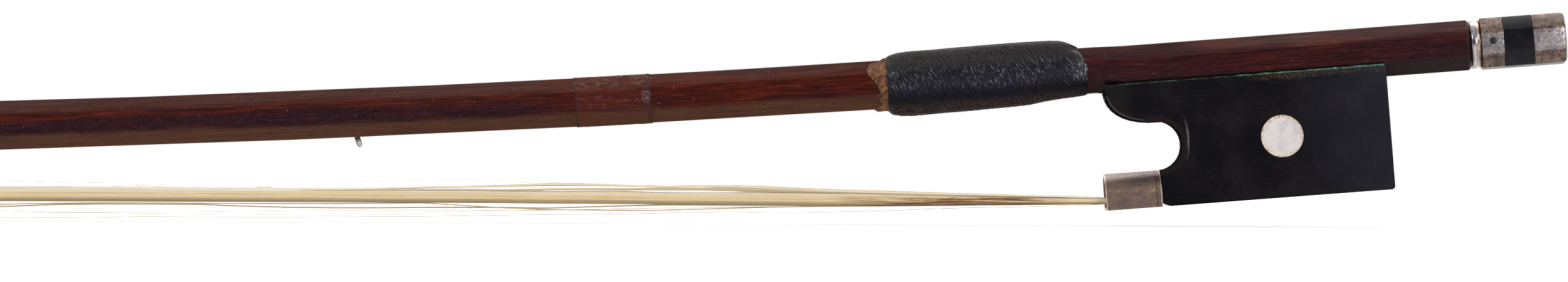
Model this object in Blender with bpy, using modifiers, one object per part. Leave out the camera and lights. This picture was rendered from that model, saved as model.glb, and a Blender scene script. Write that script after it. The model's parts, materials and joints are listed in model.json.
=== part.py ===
"""A full-size violin bow with an octagonal stick, in its separate pieces.

The bow stands hair down, as it does when it is set on a table: on the front edge
of the ferrule's flat underside and on the face plate of the head. +X runs towards
the button, +Z is up, and the origin is the middle of the box's underside.
The pieces are laid out in the frog's own frame, whose X axis is the axis of the
tension screw, with the butt end of the stick at X = 0 and the head at minus X.
One root empty tips that frame so that the bow stands level.
"""

import math
import random

import bmesh
import bpy

# Driving dimensions, in metres

# Stick
STICK_LENGTH = 0.7270          # butt end to the foremost point of the head
BUTT_WIDTH = 0.0085            # across the flats, where the frog slides
THUMB_WIDTH = 0.0078           # across the flats, just in front of the frog
HAND_WIDTH = 0.00825           # across the flats, in front of the thumb leather
MIDDLE_WIDTH = 0.0074          # across the flats, past the middle
NECK_WIDTH = 0.0054            # across the flats, behind the head
THUMB_LIFT = 0.0005            # rise of the stick's centre line in front of the frog
HAND_END = 0.250               # from the butt, where the taper to the head starts
MIDDLE_AT = 0.430              # from the butt, where MIDDLE_WIDTH is measured
CAMBER_START = 0.060           # from the butt, where the stick starts to bend
CAMBER_RISE = 0.0494           # rise of the centre line at the head's back edge
CAMBER_POWER = 1.96
BUTT_CHAMFER = 0.0004
PRISM_INSIDE_FROG = 0.0040     # behind the tongue's tip, where the stick stops being straight
PRISM_RUNOUT = 0.0050          # length of the taper from there to THUMB_WIDTH
HAND_TAPER_POWER = 1.3         # how late the stick thins, in its hand half
NECK_TAPER_POWER = 1.05        # how late the stick thins, in its head half
NIPPLE_RADIUS = 0.0028         # round stub on the butt, inside the button's collar
NIPPLE_LENGTH = 0.0011

# Head
HEAD_LENGTH = 0.0263           # face plate, back edge to tip
HEAD_DROP = 0.0225             # face plate up to the stick's centre line
HEAD_FACE_WIDTH = 0.0102
HEAD_CHEEK_WIDTH = 0.0076      # where the cheeks bend out to the face
HEAD_CHEEK_HEIGHT = 0.0080     # over the table
HEAD_NOSE_SETBACK = 0.0014     # wood behind the tip of the plate
HEAD_NOSE_HEIGHT = 0.0014      # wood above the liner, at the nose
HEAD_RIDGE_POWER = 2.2         # how late the ridge falls to the nose
HEAD_THROAT_REACH = 0.017      # hollow behind the head, along the stick
HEAD_THROAT_POWER = 2.6
HEAD_BACK_RISE = 0.0016        # face plate's back edge above the table
HEAD_FLAT_START = 0.013        # from the back edge, where the plate lies level
HEAD_FLAT_END = 0.020          # from the back edge, where the plate turns up
HEAD_TIP_RISE = 0.0033
PLATE_THICKNESS = 0.0010
LINER_THICKNESS = 0.0005
HEAD_MORTISE_START = 0.0046    # from the back edge
HEAD_MORTISE_LENGTH = 0.0080
HEAD_MORTISE_DEPTH = 0.0085    # into the wood, from the face of the plate
HEAD_MORTISE_WIDTH = 0.0070

# Frog
HEEL_SETBACK = 0.0146          # frog's back face, from the butt end
FROG_LENGTH = 0.0480           # back face to the tip of the tongue
FROG_BOTTOM = 0.0234           # screw axis down to the underside
FROG_EDGE_DROP = 0.0024        # screw axis down to the frog's upper edges
FROG_EDGE_WALL = 0.0006        # ebony outside the underslide, at the upper edges
FROG_BOTTOM_WIDTH = 0.0130
FROG_HEEL_RADIUS = 0.0006
THROAT_RADIUS = 0.00415
THROAT_SETBACK = 0.0085        # centre of the throat's arc, behind the tongue's tip
THROAT_DROP = 0.0131           # centre of the throat's arc, below the screw axis
THROAT_CHAMFER = 0.0005
THROAT_LIP_ANGLE = math.radians(-77)          # where the throat's arc meets the front lip
TONGUE_ROOT = 0.0014           # tongue's root, behind the centre of the throat's arc
TONGUE_POWER = 2.5
TONGUE_SWEEP = 0.93            # share of the quarter turn that the tongue's curve takes
TONGUE_NOSE = 0.0009           # flat step at the tongue's tip
FRONT_CHAMFER = 0.0006

# Metal lining between the stick and the frog
SLIDE_CLEARANCE = 0.0001       # stick to lining
UNDERSLIDE_THICKNESS = 0.0004
UNDERSLIDE_PROUD = 0.00015     # lining above the frog's upper edges
UNDERSLIDE_PIN_RADIUS = 0.0007
UNDERSLIDE_PIN_LENGTH = 0.0035
UNDERSLIDE_PIN_BACK = 0.0060   # ahead of the frog's back face
UNDERSLIDE_PIN_FRONT = 0.0125  # behind the tongue's tip
UNDERSLIDE_BACK = 0.0002       # lining's end, ahead of the frog's back face
UNDERSLIDE_FRONT = 0.0003      # lining's end, behind the tongue's tip

# Ferrule, wedge and slide
FERRULE_WIDTH = 0.0134
FERRULE_HEIGHT = 0.0062
FERRULE_LENGTH = 0.0095
FERRULE_WALL = 0.0005
FERRULE_SIDE = 0.0022          # height of the flat sides, under the round top
FERRULE_REACH = 0.0009         # ferrule's mouth in front of the tongue's tip
TENON_DEPTH = 0.0026           # frog's tenon inside the ferrule, from its top
WEDGE_THICKNESS = 0.0010
SLIDE_LENGTH = 0.0345
SLIDE_WIDTH = 0.0072           # at the frog's underside
SLIDE_UNDERCUT = 0.0005        # each side is this much wider at the top
SLIDE_DEPTH = 0.0018
PEARL_THICKNESS = 0.0009

# Frog's hair mortise
FROG_MORTISE_SETBACK = 0.0155  # its front wall, behind the tongue's tip
FROG_MORTISE_LENGTH = 0.0085
FROG_MORTISE_WIDTH = 0.0086
FROG_MORTISE_DEPTH = 0.0080
HAIR_CHANNEL_HEIGHT = 0.0016
KNOT_HEIGHT = 0.0030
KNOT_LENGTH = 0.0026
TAIL_GAP = 0.0012              # slot between a plug and its mortise, for the hair

# Eyes
EYE_RADIUS = 0.0036
EYE_THICKNESS = 0.0006
EYE_SETBACK = 0.0184           # ahead of the frog's back face
EYE_DROP = 0.0130              # below the screw axis

# Screw, eyelet and travel
SCREW_RADIUS = 0.00145
SCREW_REACH = 0.0500           # from the butt end to the screw's tip
SCREW_TIP_RADIUS = 0.0011
SCREW_TIP_LENGTH = 0.0050
BORE_CLEARANCE = 0.00015
EYELET_SETBACK = 0.0204        # ahead of the frog's back face
EYELET_LENGTH = 0.0050
EYELET_WIDTH = 0.0045
EYELET_RISE = 0.0024           # above the screw axis
EYELET_STEM_RADIUS = 0.0015
EYELET_STEM_LENGTH = 0.0070    # below the stick
FROG_TRAVEL_OUT = 0.0056       # towards the button, as the hair is tightened
FROG_TRAVEL_IN = 0.0021        # towards the head, as the hair is let off
SLOT_END_GAP = 0.0006
SLOT_SIDE_GAP = 0.00015

# Button
BUTTON_GAP = 0.00015           # between the butt end and the collar
COLLAR_RADIUS = 0.0041
COLLAR_LENGTH = 0.00175
COLLAR_GROOVE = 0.0002
BUTTON_WIDTH = 0.0084          # across the flats
FRONT_RING_LENGTH = 0.0038
CORE_LENGTH = 0.0050           # ebony that shows between the two metal rings
END_CAP_LENGTH = 0.0056
END_CAP_FLOOR = 0.0014
END_CAP_ROUND = 0.0007
BUTTON_WALL = 0.0008           # metal rings round the ebony
RING_PIN_RADIUS = 0.00055
RING_PIN_LENGTH = 0.0006
BUTTON_ROLL = math.radians(-6)

# Thumb leather and what else is on the stick
LEATHER_GAP = 0.0030           # frog's tongue to the leather's near end
LEATHER_LENGTH = 0.0333
LEATHER_TOP = 0.00105
LEATHER_BOTTOM = 0.00110
LEATHER_EDGE = 0.0003
LINING_SETBACK = 0.0008        # lining's near end inside the leather
LINING_LENGTH = 0.0362
LINING_THICKNESS = 0.0003
BAND_START = 0.1390
BAND_LENGTH = 0.0130
BAND_THICKNESS = 0.0002
WINDING_PIN_AT = 0.1892
WINDING_PIN_RADIUS = 0.00047
WINDING_PIN_SHOWN = 0.0017
WINDING_PIN_SUNK = 0.0012
WINDING_PIN_LEAN = math.radians(12)

# Hair
HAIR_COLUMNS = 50
HAIR_ROWS = 6
HAIR_RADIUS = 0.000065
HAIR_END_RADIUS = 0.00005
HAIR_BUNDLE_AT_FERRULE = 0.0011
HAIR_BUNDLE_SWELL = 0.0028     # thickness where the hair hangs loose
HAIR_BUNDLE_AT_HEAD = 0.0007
HAIR_SWELL_FRONT = 0.052       # from the ferrule
HAIR_SWELL_BACK = 0.075        # from the head
HAIR_FLOOR_GAP = 0.0001
HAIR_PLATE_GAP = 0.00015
HAIR_SLICE = 0.0010            # tied slice at each end of the hair
HAIR_SLICE_SETBACK = 0.0010    # tied slice behind the ferrule's mouth
HAIR_FERRULE_MARGIN = 0.0008   # each side, inside the ferrule
HAIR_HEAD_MARGIN = 0.0009      # each side, under the head's face
TAIL_BEND_SETBACK = 0.0020     # tied hair's bend, ahead of the ferrule's back

# Clearances between seated pieces
SEAT = 0.00005
FIT = 0.0001

# Values that follow from the sizes above
BUTT_HALF = BUTT_WIDTH / 2
TONGUE_TIP = -(HEEL_SETBACK + FROG_LENGTH)
HEEL = -HEEL_SETBACK
LEATHER_START = -TONGUE_TIP + LEATHER_GAP     # from the butt
LINING_HALF = BUTT_HALF + SLIDE_CLEARANCE
CHANNEL_HALF = LINING_HALF + UNDERSLIDE_THICKNESS + SEAT
FERRULE_MOUTH = TONGUE_TIP - FERRULE_REACH
FERRULE_BACK = FERRULE_MOUTH + FERRULE_LENGTH
FERRULE_FLOOR = -FROG_BOTTOM + FERRULE_WALL
FERRULE_TOP = -FROG_BOTTOM + FERRULE_HEIGHT
FROG_FRONT = FERRULE_BACK + FIT
THROAT_X = TONGUE_TIP + THROAT_SETBACK
HAIR_WIDTH_AT_FERRULE = FERRULE_WIDTH - 2 * FERRULE_WALL - 2 * HAIR_FERRULE_MARGIN
HAIR_WIDTH_AT_HEAD = HEAD_FACE_WIDTH - 2 * HAIR_HEAD_MARGIN
SCREW_BORE = SCREW_RADIUS + BORE_CLEARANCE
OCTAGON = math.tan(math.pi / 8)


# Scene and mesh helpers

def clear_scene():
    for item in list(bpy.data.objects):
        bpy.data.objects.remove(item, do_unlink=True)


def new_collection(name):
    group = bpy.data.collections.new(name)
    bpy.context.scene.collection.children.link(group)
    return group


def principled(name, colour, roughness, metallic=0.0):
    made = bpy.data.materials.new(name)
    made.use_nodes = True
    shader = made.node_tree.nodes["Principled BSDF"]
    shader.inputs["Base Color"].default_value = (*colour, 1.0)
    shader.inputs["Roughness"].default_value = roughness
    shader.inputs["Metallic"].default_value = metallic
    made.diffuse_color = (*colour, 1.0)
    return made


def new_empty(name, group, parent=None, location=(0, 0, 0), rotation=(0, 0, 0)):
    made = bpy.data.objects.new(name, None)
    made.empty_display_size = 0.01
    group.objects.link(made)
    made.parent = parent
    made.location = location
    made.rotation_euler = rotation
    return made


def finish_mesh(mesh, smooth):
    if smooth:
        mesh.shade_smooth()
        mesh.set_sharp_from_angle(angle=math.radians(32))
    else:
        mesh.shade_flat()


class Workshop:
    """Adds named pieces and cutters, each under its parent empty."""

    def __init__(self, parts, cutters):
        self.parts = parts
        self.cutters = cutters

    def piece(self, name, mesh, material, parent, location=(0, 0, 0), rotation=(0, 0, 0),
              smooth=False):
        made = bpy.data.objects.new(name, mesh)
        self.parts.objects.link(made)
        made.parent = parent
        made.location = location
        made.rotation_euler = rotation
        made.data.materials.append(material)
        finish_mesh(made.data, smooth)
        return made

    def tool(self, name, mesh, parent, location=(0, 0, 0), rotation=(0, 0, 0)):
        made = bpy.data.objects.new(name, mesh)
        self.cutters.objects.link(made)
        made.parent = parent
        made.location = location
        made.rotation_euler = rotation
        made.hide_render = True
        made.display_type = "WIRE"
        return made


def boolean(target, tool, operation):
    step = target.modifiers.new(operation.lower() + " " + tool.name, "BOOLEAN")
    step.operation = operation
    step.solver = "EXACT"
    step.object = tool


def cut(target, tool):
    boolean(target, tool, "DIFFERENCE")


def join(target, tool):
    boolean(target, tool, "UNION")


def keep_inside(target, tool):
    boolean(target, tool, "INTERSECT")


def mesh_from_bmesh(name, work):
    bmesh.ops.recalc_face_normals(work, faces=work.faces)
    mesh = bpy.data.meshes.new(name)
    work.to_mesh(mesh)
    work.free()
    return mesh


def outline_mesh(name, points, thickness):
    """A flat outline, filled and given its thickness, centred on its own plane."""
    drawing = bpy.data.curves.new(name, "CURVE")
    drawing.dimensions = "2D"
    drawing.fill_mode = "BOTH"
    drawing.extrude = thickness / 2
    line = drawing.splines.new("POLY")
    line.points.add(len(points) - 1)
    for point, (across, up) in zip(line.points, points):
        point.co = (across, up, 0, 1)
    line.use_cyclic_u = True
    carrier = bpy.data.objects.new(name, drawing)
    bpy.context.scene.collection.objects.link(carrier)
    bpy.context.view_layer.update()
    graph = bpy.context.evaluated_depsgraph_get()
    mesh = bpy.data.meshes.new_from_object(carrier.evaluated_get(graph))
    bpy.data.objects.remove(carrier, do_unlink=True)
    work = bmesh.new()
    work.from_mesh(mesh)
    bpy.data.meshes.remove(mesh)
    bmesh.ops.remove_doubles(work, verts=work.verts, dist=0.000002)
    return mesh_from_bmesh(name, work)


# Rotations that lay a mesh made in its own XY plane, or along its own Z axis
SIDE_VIEW = (math.pi / 2, 0, 0)               # outline (x, z), thickness along Y
END_VIEW = (math.pi / 2, 0, math.pi / 2)      # outline (y, z), thickness along X
ALONG_X = (0, math.pi / 2, 0)                 # own Z axis along +X


def cylinder_mesh(name, radius, length, sides=24, far_radius=None):
    work = bmesh.new()
    bmesh.ops.create_cone(work, cap_ends=True, segments=sides, radius1=radius,
                          radius2=radius if far_radius is None else far_radius, depth=length)
    return mesh_from_bmesh(name, work)


def box_mesh(name, size):
    work = bmesh.new()
    bmesh.ops.create_cube(work, size=1)
    bmesh.ops.scale(work, vec=size, verts=work.verts)
    return mesh_from_bmesh(name, work)


def loft_mesh(name, rings):
    """A closed skin over unlike sections that have the same number of points."""
    work = bmesh.new()
    rows = [[work.verts.new(point) for point in ring] for ring in rings]
    count = len(rows[0])
    for near, far in zip(rows, rows[1:]):
        for k in range(count):
            work.faces.new((near[k], near[(k + 1) % count], far[(k + 1) % count], far[k]))
    work.faces.new(rows[0])
    work.faces.new(rows[-1])
    return mesh_from_bmesh(name, work)


def sleeve_mesh(name, inner, outer):
    """A tube with a wall: rings along the inside and back along the outside, joined up."""
    work = bmesh.new()
    rows = [[work.verts.new(point) for point in ring] for ring in inner + outer[::-1]]
    count = len(rows[0])
    for near, far in zip(rows, rows[1:] + rows[:1]):
        for k in range(count):
            work.faces.new((near[k], near[(k + 1) % count], far[(k + 1) % count], far[k]))
    return mesh_from_bmesh(name, work)


def turned_piece(shop, name, profile, material, parent, steps=32):
    """A profile of (distance along X, radius) pairs, turned round the X axis with Screw."""
    mesh = bpy.data.meshes.new(name)
    points = [(radius, 0, along) for along, radius in profile]
    edges = [(k, (k + 1) % len(points)) for k in range(len(points))]
    mesh.from_pydata(points, edges, [])
    made = shop.piece(name, mesh, material, parent, rotation=ALONG_X)
    turn = made.modifiers.new("turn", "SCREW")
    turn.axis = "Z"
    turn.angle = 2 * math.pi
    turn.steps = steps
    turn.render_steps = steps
    turn.use_merge_vertices = True
    turn.merge_threshold = 0.000001
    turn.use_smooth_shade = True
    return made


# The stick's centre line and sections

def smooth_step(share):
    share = min(1.0, max(0.0, share))
    return share * share * (3 - 2 * share)


def between(value, start, end, low, high):
    return low + (high - low) * smooth_step((value - start) / (end - start))


HEAD_BACK_AT = STICK_LENGTH - HEAD_LENGTH     # from the butt to the plate's back edge
PRISM_END = HEEL_SETBACK + FROG_LENGTH - PRISM_INSIDE_FROG
HAND_AT = LEATHER_START + LEATHER_LENGTH


def stick_width(distance):
    if distance <= PRISM_END + PRISM_RUNOUT:
        return between(distance, PRISM_END, PRISM_END + PRISM_RUNOUT, BUTT_WIDTH, THUMB_WIDTH)
    if distance <= HAND_AT:
        return between(distance, PRISM_END + PRISM_RUNOUT, HAND_AT, THUMB_WIDTH, HAND_WIDTH)
    if distance <= HAND_END:
        return HAND_WIDTH
    if distance <= MIDDLE_AT:
        share = (distance - HAND_END) / (MIDDLE_AT - HAND_END)
        return HAND_WIDTH + (MIDDLE_WIDTH - HAND_WIDTH) * share ** HAND_TAPER_POWER
    share = (distance - MIDDLE_AT) / (HEAD_BACK_AT - HEAD_THROAT_REACH - MIDDLE_AT)
    return MIDDLE_WIDTH + (NECK_WIDTH - MIDDLE_WIDTH) * min(1.0, share) ** NECK_TAPER_POWER


def stick_centre(distance):
    lift = between(distance, PRISM_END, PRISM_END + PRISM_RUNOUT, 0, THUMB_LIFT)
    bent = max(0.0, distance - CAMBER_START)
    whole = HEAD_BACK_AT - CAMBER_START
    return lift + CAMBER_RISE * (bent / whole) ** CAMBER_POWER


def camber_slope(distance):
    step = 0.0005
    return (stick_centre(distance + step) - stick_centre(distance - step)) / (2 * step)


def octagon(half):
    """The corners of an octagon with flats up and down, in order round the section."""
    short = half * OCTAGON
    return [(short, half), (half, short), (half, -short), (short, -half),
            (-short, -half), (-half, -short), (-half, short), (-short, half)]


def stick_ring(distance, above=0.0, below=0.0, beside=None):
    """The stick's section at a distance from the butt, grown by these thicknesses."""
    slope = 0.0 if distance <= PRISM_END + PRISM_RUNOUT else camber_slope(distance)
    scale = 1 / math.hypot(1, slope)
    up_x, up_z = slope * scale, scale
    half = stick_width(distance) / 2 + (above + below) / 2
    shift = (above - below) / 2
    wide = half if beside is None else stick_width(distance) / 2 + beside
    ring = []
    for y, n in octagon(half):
        n += shift
        ring.append((-distance + n * up_x, y * wide / half, stick_centre(distance) + n * up_z))
    return ring


# Where the bow touches the table: ferrule's front edge and head plate

def resting_tilt():
    """The angle between the screw axis and the table, and the point on the table's
    plane, in the frog's frame, under the stick's centre at the plate's back edge."""
    foot_x, foot_z = FERRULE_MOUTH, -FROG_BOTTOM
    head_x, head_z = -HEAD_BACK_AT, stick_centre(HEAD_BACK_AT)
    span = math.hypot(head_x - foot_x, head_z - foot_z)
    rise = math.atan2(head_z - foot_z, foot_x - head_x)
    tilt = rise - math.asin(HEAD_DROP / span)
    below_x = head_x - HEAD_DROP * math.sin(tilt)
    below_z = head_z - HEAD_DROP * math.cos(tilt)
    return tilt, below_x, below_z


TILT, HEAD_ORIGIN_X, HEAD_ORIGIN_Z = resting_tilt()


def head_point(forward, y, height):
    """A point given from the plate's back edge, in the frog's frame."""
    return (HEAD_ORIGIN_X - forward * math.cos(TILT) + height * math.sin(TILT), y,
            HEAD_ORIGIN_Z + forward * math.sin(TILT) + height * math.cos(TILT))


def level_point(x, z):
    """A point of the frog's frame, as its place along the table and its height over it."""
    x, z = x - HEAD_ORIGIN_X, z - HEAD_ORIGIN_Z
    return x * math.cos(TILT) - z * math.sin(TILT), x * math.sin(TILT) + z * math.cos(TILT)


# Head

def plate_underside(forward):
    if forward < HEAD_FLAT_START:
        return HEAD_BACK_RISE * (1 - forward / HEAD_FLAT_START)
    if forward > HEAD_FLAT_END:
        share = (forward - HEAD_FLAT_END) / (HEAD_LENGTH - HEAD_FLAT_END)
        return HEAD_TIP_RISE * share ** 2
    return 0.0


def plan_share(forward):
    """How much of the full face width the head has, seen from below."""
    start = 0.3 * HEAD_LENGTH
    if forward < start:
        return 0.95 + 0.05 * forward / start
    return 1 - 0.62 * ((forward - start) / (HEAD_LENGTH - start)) ** 2.2


LAYERS = PLATE_THICKNESS + SEAT + LINER_THICKNESS + SEAT
NOSE_AT = HEAD_LENGTH - HEAD_NOSE_SETBACK
NECK_SLOPE = math.tan(math.atan(camber_slope(HEAD_BACK_AT)) - TILT)
RIDGE_START = 0.16 * HEAD_LENGTH
FACE_STATIONS = [NOSE_AT * k / 12 for k in range(13)]


def cheek_half_width(height):
    """Half the head's width at a height over the table: two flat stretches that flare
    down to the plate."""
    stem_bottom = HEAD_DROP - NECK_WIDTH / 2
    neck, bend, face = NECK_WIDTH / 2, HEAD_CHEEK_WIDTH / 2, HEAD_FACE_WIDTH / 2
    if height >= stem_bottom:
        return neck
    if height > HEAD_CHEEK_HEIGHT:
        return neck + (bend - neck) * (stem_bottom - height) / (stem_bottom - HEAD_CHEEK_HEIGHT)
    return bend + (face - bend) * (HEAD_CHEEK_HEIGHT - height) / (HEAD_CHEEK_HEIGHT - LAYERS)


def head_section(forward, bottom, blend):
    """Eight points round the head, joined on to the stick's octagon by blend = 0."""
    half = NECK_WIDTH / 2
    centre = HEAD_DROP + forward * NECK_SLOPE
    fall = 0.0
    if forward > RIDGE_START:
        nose_top = plate_underside(NOSE_AT) + LAYERS + HEAD_NOSE_HEIGHT
        whole = HEAD_DROP + NOSE_AT * NECK_SLOPE + half - nose_top
        fall = whole * ((forward - RIDGE_START) / (NOSE_AT - RIDGE_START)) ** HEAD_RIDGE_POWER
    top = centre + half - fall
    bevel = min(half * (1 - OCTAGON), 0.45 * (top - bottom))
    shoulder = top - bevel
    middle = max(bottom + 0.15 * (shoulder - bottom),
                 min(HEAD_CHEEK_HEIGHT, bottom + 0.7 * (shoulder - bottom)))
    narrow = plan_share(forward) if forward > RIDGE_START else 1.0
    ridge_half = half * OCTAGON * narrow
    shoulder_half = min(half, cheek_half_width(shoulder)) * narrow ** 0.5
    middle_half = cheek_half_width(middle) * narrow
    bottom_half = half * OCTAGON + (cheek_half_width(bottom) - half * OCTAGON) * blend
    bottom_half *= narrow
    side = [(ridge_half, top), (shoulder_half, shoulder), (middle_half, middle), (bottom_half, bottom)]
    mirrored = [(-y, height) for y, height in reversed(side)]
    return [head_point(forward, y, height) for y, height in side + mirrored]


def head_rings():
    """Sections from the neck, round the hollow behind the head, to the nose."""
    rings = []
    base = plate_underside(0) + LAYERS
    under_stem = HEAD_DROP - HEAD_THROAT_REACH * NECK_SLOPE - NECK_WIDTH / 2
    throat_steps = 9
    for k in range(1, throat_steps):
        turn = math.pi / 2 * k / throat_steps
        forward = HEAD_THROAT_REACH * (math.sin(turn) ** (2 / HEAD_THROAT_POWER) - 1)
        fallen = math.cos(turn) ** (2 / HEAD_THROAT_POWER)
        bottom = base + (under_stem - base) * fallen
        rings.append(head_section(forward, bottom, smooth_step(k / throat_steps)))
    for forward in FACE_STATIONS:
        rings.append(head_section(forward, plate_underside(forward) + LAYERS, 1.0))
    return rings


def face_layer(name, low, high, stations):
    """A strip under the head's face, between two heights over the plate's underside."""
    rings = []
    for forward in stations:
        half = HEAD_FACE_WIDTH / 2 * plan_share(forward)
        under = plate_underside(forward)
        corners = [(half, under + high), (half, under + low), (-half, under + low), (-half, under + high)]
        rings.append([head_point(forward, y, height) for y, height in corners])
    return loft_mesh(name, rings)


def build_stick(shop, root, head_frame, wood):
    chamfered = octagon(BUTT_HALF - BUTT_CHAMFER)
    rings = [[(0, y, z) for y, z in chamfered], stick_ring(BUTT_CHAMFER)]
    last = HEAD_BACK_AT - HEAD_THROAT_REACH
    places = [PRISM_END, PRISM_END + PRISM_RUNOUT / 2, PRISM_END + PRISM_RUNOUT, HAND_AT, 0.125]
    step = 0.025
    while places[-1] + step < last - step / 2:
        places.append(places[-1] + step)
    rings += [stick_ring(distance) for distance in places + [last]]
    stick = shop.piece("stick", loft_mesh("stick", rings + head_rings()), wood, root, smooth=True)

    nipple = shop.tool("nipple_tool", cylinder_mesh("nipple_tool", NIPPLE_RADIUS, 2 * NIPPLE_LENGTH, 32),
                       root, rotation=ALONG_X)
    join(stick, nipple)
    bore_length = SCREW_REACH + 0.001 + 0.01
    bore = shop.tool("screw_bore", cylinder_mesh("screw_bore", SCREW_BORE, bore_length, 24),
                     root, (0.01 - bore_length / 2, 0, 0), ALONG_X)
    cut(stick, bore)

    slot_length = EYELET_LENGTH + FROG_TRAVEL_IN + FROG_TRAVEL_OUT + 2 * SLOT_END_GAP
    slot_middle = HEEL - EYELET_SETBACK + (FROG_TRAVEL_OUT - FROG_TRAVEL_IN) / 2
    slot_top = EYELET_RISE + SLOT_END_GAP / 2
    slot_height = slot_top + BUTT_WIDTH
    slot = shop.tool("eyelet_slot", box_mesh("eyelet_slot",
                     (slot_length, EYELET_WIDTH + 2 * SLOT_SIDE_GAP, slot_height)),
                     root, (slot_middle, 0, slot_top - slot_height / 2))
    cut(stick, slot)
    head_mortise = shop.tool("head_mortise", box_mesh("head_mortise",
                             (HEAD_MORTISE_LENGTH, HEAD_MORTISE_WIDTH, 2 * HEAD_MORTISE_DEPTH)),
                             head_frame, (-HEAD_MORTISE_START - HEAD_MORTISE_LENGTH / 2, 0, 0))
    cut(stick, head_mortise)
    return stick, head_mortise


def build_head_face(shop, root, head_frame, head_mortise, ebony, bone, pale_wood, tied):
    stations = FACE_STATIONS + [(NOSE_AT + HEAD_LENGTH) / 2, HEAD_LENGTH]
    plate = shop.piece("head_plate", face_layer("head_plate", 0, PLATE_THICKNESS, stations), bone, root)
    low = PLATE_THICKNESS + SEAT
    strip = face_layer("head_liner", low, low + LINER_THICKNESS, FACE_STATIONS)
    liner = shop.piece("head_liner", strip, ebony, root)
    cut(plate, head_mortise)
    cut(liner, head_mortise)

    plug_length = HEAD_MORTISE_LENGTH - TAIL_GAP - 2 * FIT
    plug_height = HEAD_MORTISE_DEPTH - KNOT_HEIGHT - 3 * FIT
    front = HEAD_MORTISE_START + HEAD_MORTISE_LENGTH - FIT
    lowest = plate_underside(HEAD_MORTISE_START + TAIL_GAP) + HAIR_BUNDLE_AT_HEAD
    level = 2 * FIT
    plug_outline = [(-front, level), (-front, plug_height), (-front + plug_length, plug_height),
                    (-front + plug_length, lowest), (-front + plug_length / 2, level)]
    shop.piece("head_plug", outline_mesh("head_plug", plug_outline, HEAD_MORTISE_WIDTH - 2 * FIT),
               pale_wood, head_frame, rotation=SIDE_VIEW)

    back = -HEAD_MORTISE_START - FIT
    top = HEAD_MORTISE_DEPTH - FIT
    thick = HAIR_BUNDLE_AT_HEAD
    start = -HAIR_SLICE - FIT
    start_top = plate_underside(-start) - HAIR_PLATE_GAP
    back_top = plate_underside(-back) - HAIR_PLATE_GAP
    turn = back - TAIL_GAP + 2 * FIT
    knot_outline = [(start, start_top - thick), (start, start_top), (back, back_top), (back, top),
                    (back - KNOT_LENGTH, top), (back - KNOT_LENGTH, top - KNOT_HEIGHT + FIT),
                    (turn, top - KNOT_HEIGHT + FIT), (turn, max(HAIR_FLOOR_GAP, back_top - thick)),
                    (back, max(HAIR_FLOOR_GAP, back_top - thick))]
    shop.piece("head_hair_knot", outline_mesh("head_hair_knot", knot_outline,
               HEAD_MORTISE_WIDTH - 4 * FIT), tied, head_frame, rotation=SIDE_VIEW)


# Frog

def arc(centre, radius, start, end, steps):
    turns = [start + (end - start) * k / steps for k in range(steps + 1)]
    return [(centre[0] + radius * math.cos(turn), centre[1] + radius * math.sin(turn)) for turn in turns]


def tongue_curve(steps):
    """The tongue's underside, from above the throat to the tip, as a superellipse."""
    root_x = THROAT_X + TONGUE_ROOT
    root_z = -THROAT_DROP + math.sqrt(THROAT_RADIUS ** 2 - TONGUE_ROOT ** 2)
    depth = -FROG_EDGE_DROP - root_z
    reach = root_x - TONGUE_TIP
    points = []
    for k in range(1, steps + 1):
        turn = math.pi / 2 * TONGUE_SWEEP * k / steps
        x = root_x - reach * math.sin(turn) ** (2 / TONGUE_POWER)
        z = -FROG_EDGE_DROP - depth * math.cos(turn) ** (2 / TONGUE_POWER)
        points.append((x, z))
    points.append((TONGUE_TIP, points[-1][1] + TONGUE_NOSE))
    points.append((TONGUE_TIP, -FROG_EDGE_DROP))
    return points


def frog_outline():
    bottom = -FROG_BOTTOM
    radius = FROG_HEEL_RADIUS
    heel_corner = arc((HEEL - radius, bottom + radius), radius, 0, -math.pi / 2, 4)
    front_chamfer = [(FROG_FRONT + 2 * FRONT_CHAMFER, bottom), (FROG_FRONT, bottom + FRONT_CHAMFER)]
    throat = arc((THROAT_X, -THROAT_DROP), THROAT_RADIUS, THROAT_LIP_ANGLE,
                 math.acos(TONGUE_ROOT / THROAT_RADIUS), 14)
    lip = [(FROG_FRONT, throat[0][1])]
    return [(HEEL, -FROG_EDGE_DROP)] + heel_corner + front_chamfer + lip + throat + tongue_curve(9)


def frog_half_width(z):
    """Half the frog's width: it widens evenly from its upper edges to its underside."""
    edge = CHANNEL_HALF * math.sqrt(2) - FROG_EDGE_DROP + FROG_EDGE_WALL
    share = (-FROG_EDGE_DROP - z) / (FROG_BOTTOM - FROG_EDGE_DROP)
    return edge + (FROG_BOTTOM_WIDTH / 2 - edge) * share


def ferrule_section(inset, cut_height=None):
    """The ferrule's D, flat side down, drawn in by an even wall, perhaps cut level."""
    half = FERRULE_WIDTH / 2 - inset
    low = -FROG_BOTTOM + inset
    spring = -FROG_BOTTOM + FERRULE_SIDE
    crown = FERRULE_HEIGHT - FERRULE_SIDE - inset
    round_top = [(half * math.cos(math.pi * k / 16), spring + crown * math.sin(math.pi * k / 16))
                 for k in range(17)]
    if cut_height is None:
        return [(-half, low), (half, low)] + round_top
    share = (cut_height - spring) / crown
    if share <= 0:
        return [(-half, cut_height), (half, cut_height)] + round_top
    start = math.asin(share)
    steps = 14
    turns = [start + (math.pi - 2 * start) * k / steps for k in range(steps + 1)]
    return [(half * math.cos(turn), spring + crown * math.sin(turn)) for turn in turns]


def x_prism(shop, name, section, start, end, parent, material=None, smooth=False):
    mesh = outline_mesh(name, section, end - start)
    location = ((start + end) / 2, 0, 0)
    if material is None:
        return shop.tool(name, mesh, parent, location, END_VIEW)
    return shop.piece(name, mesh, material, parent, location, END_VIEW, smooth)


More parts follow.
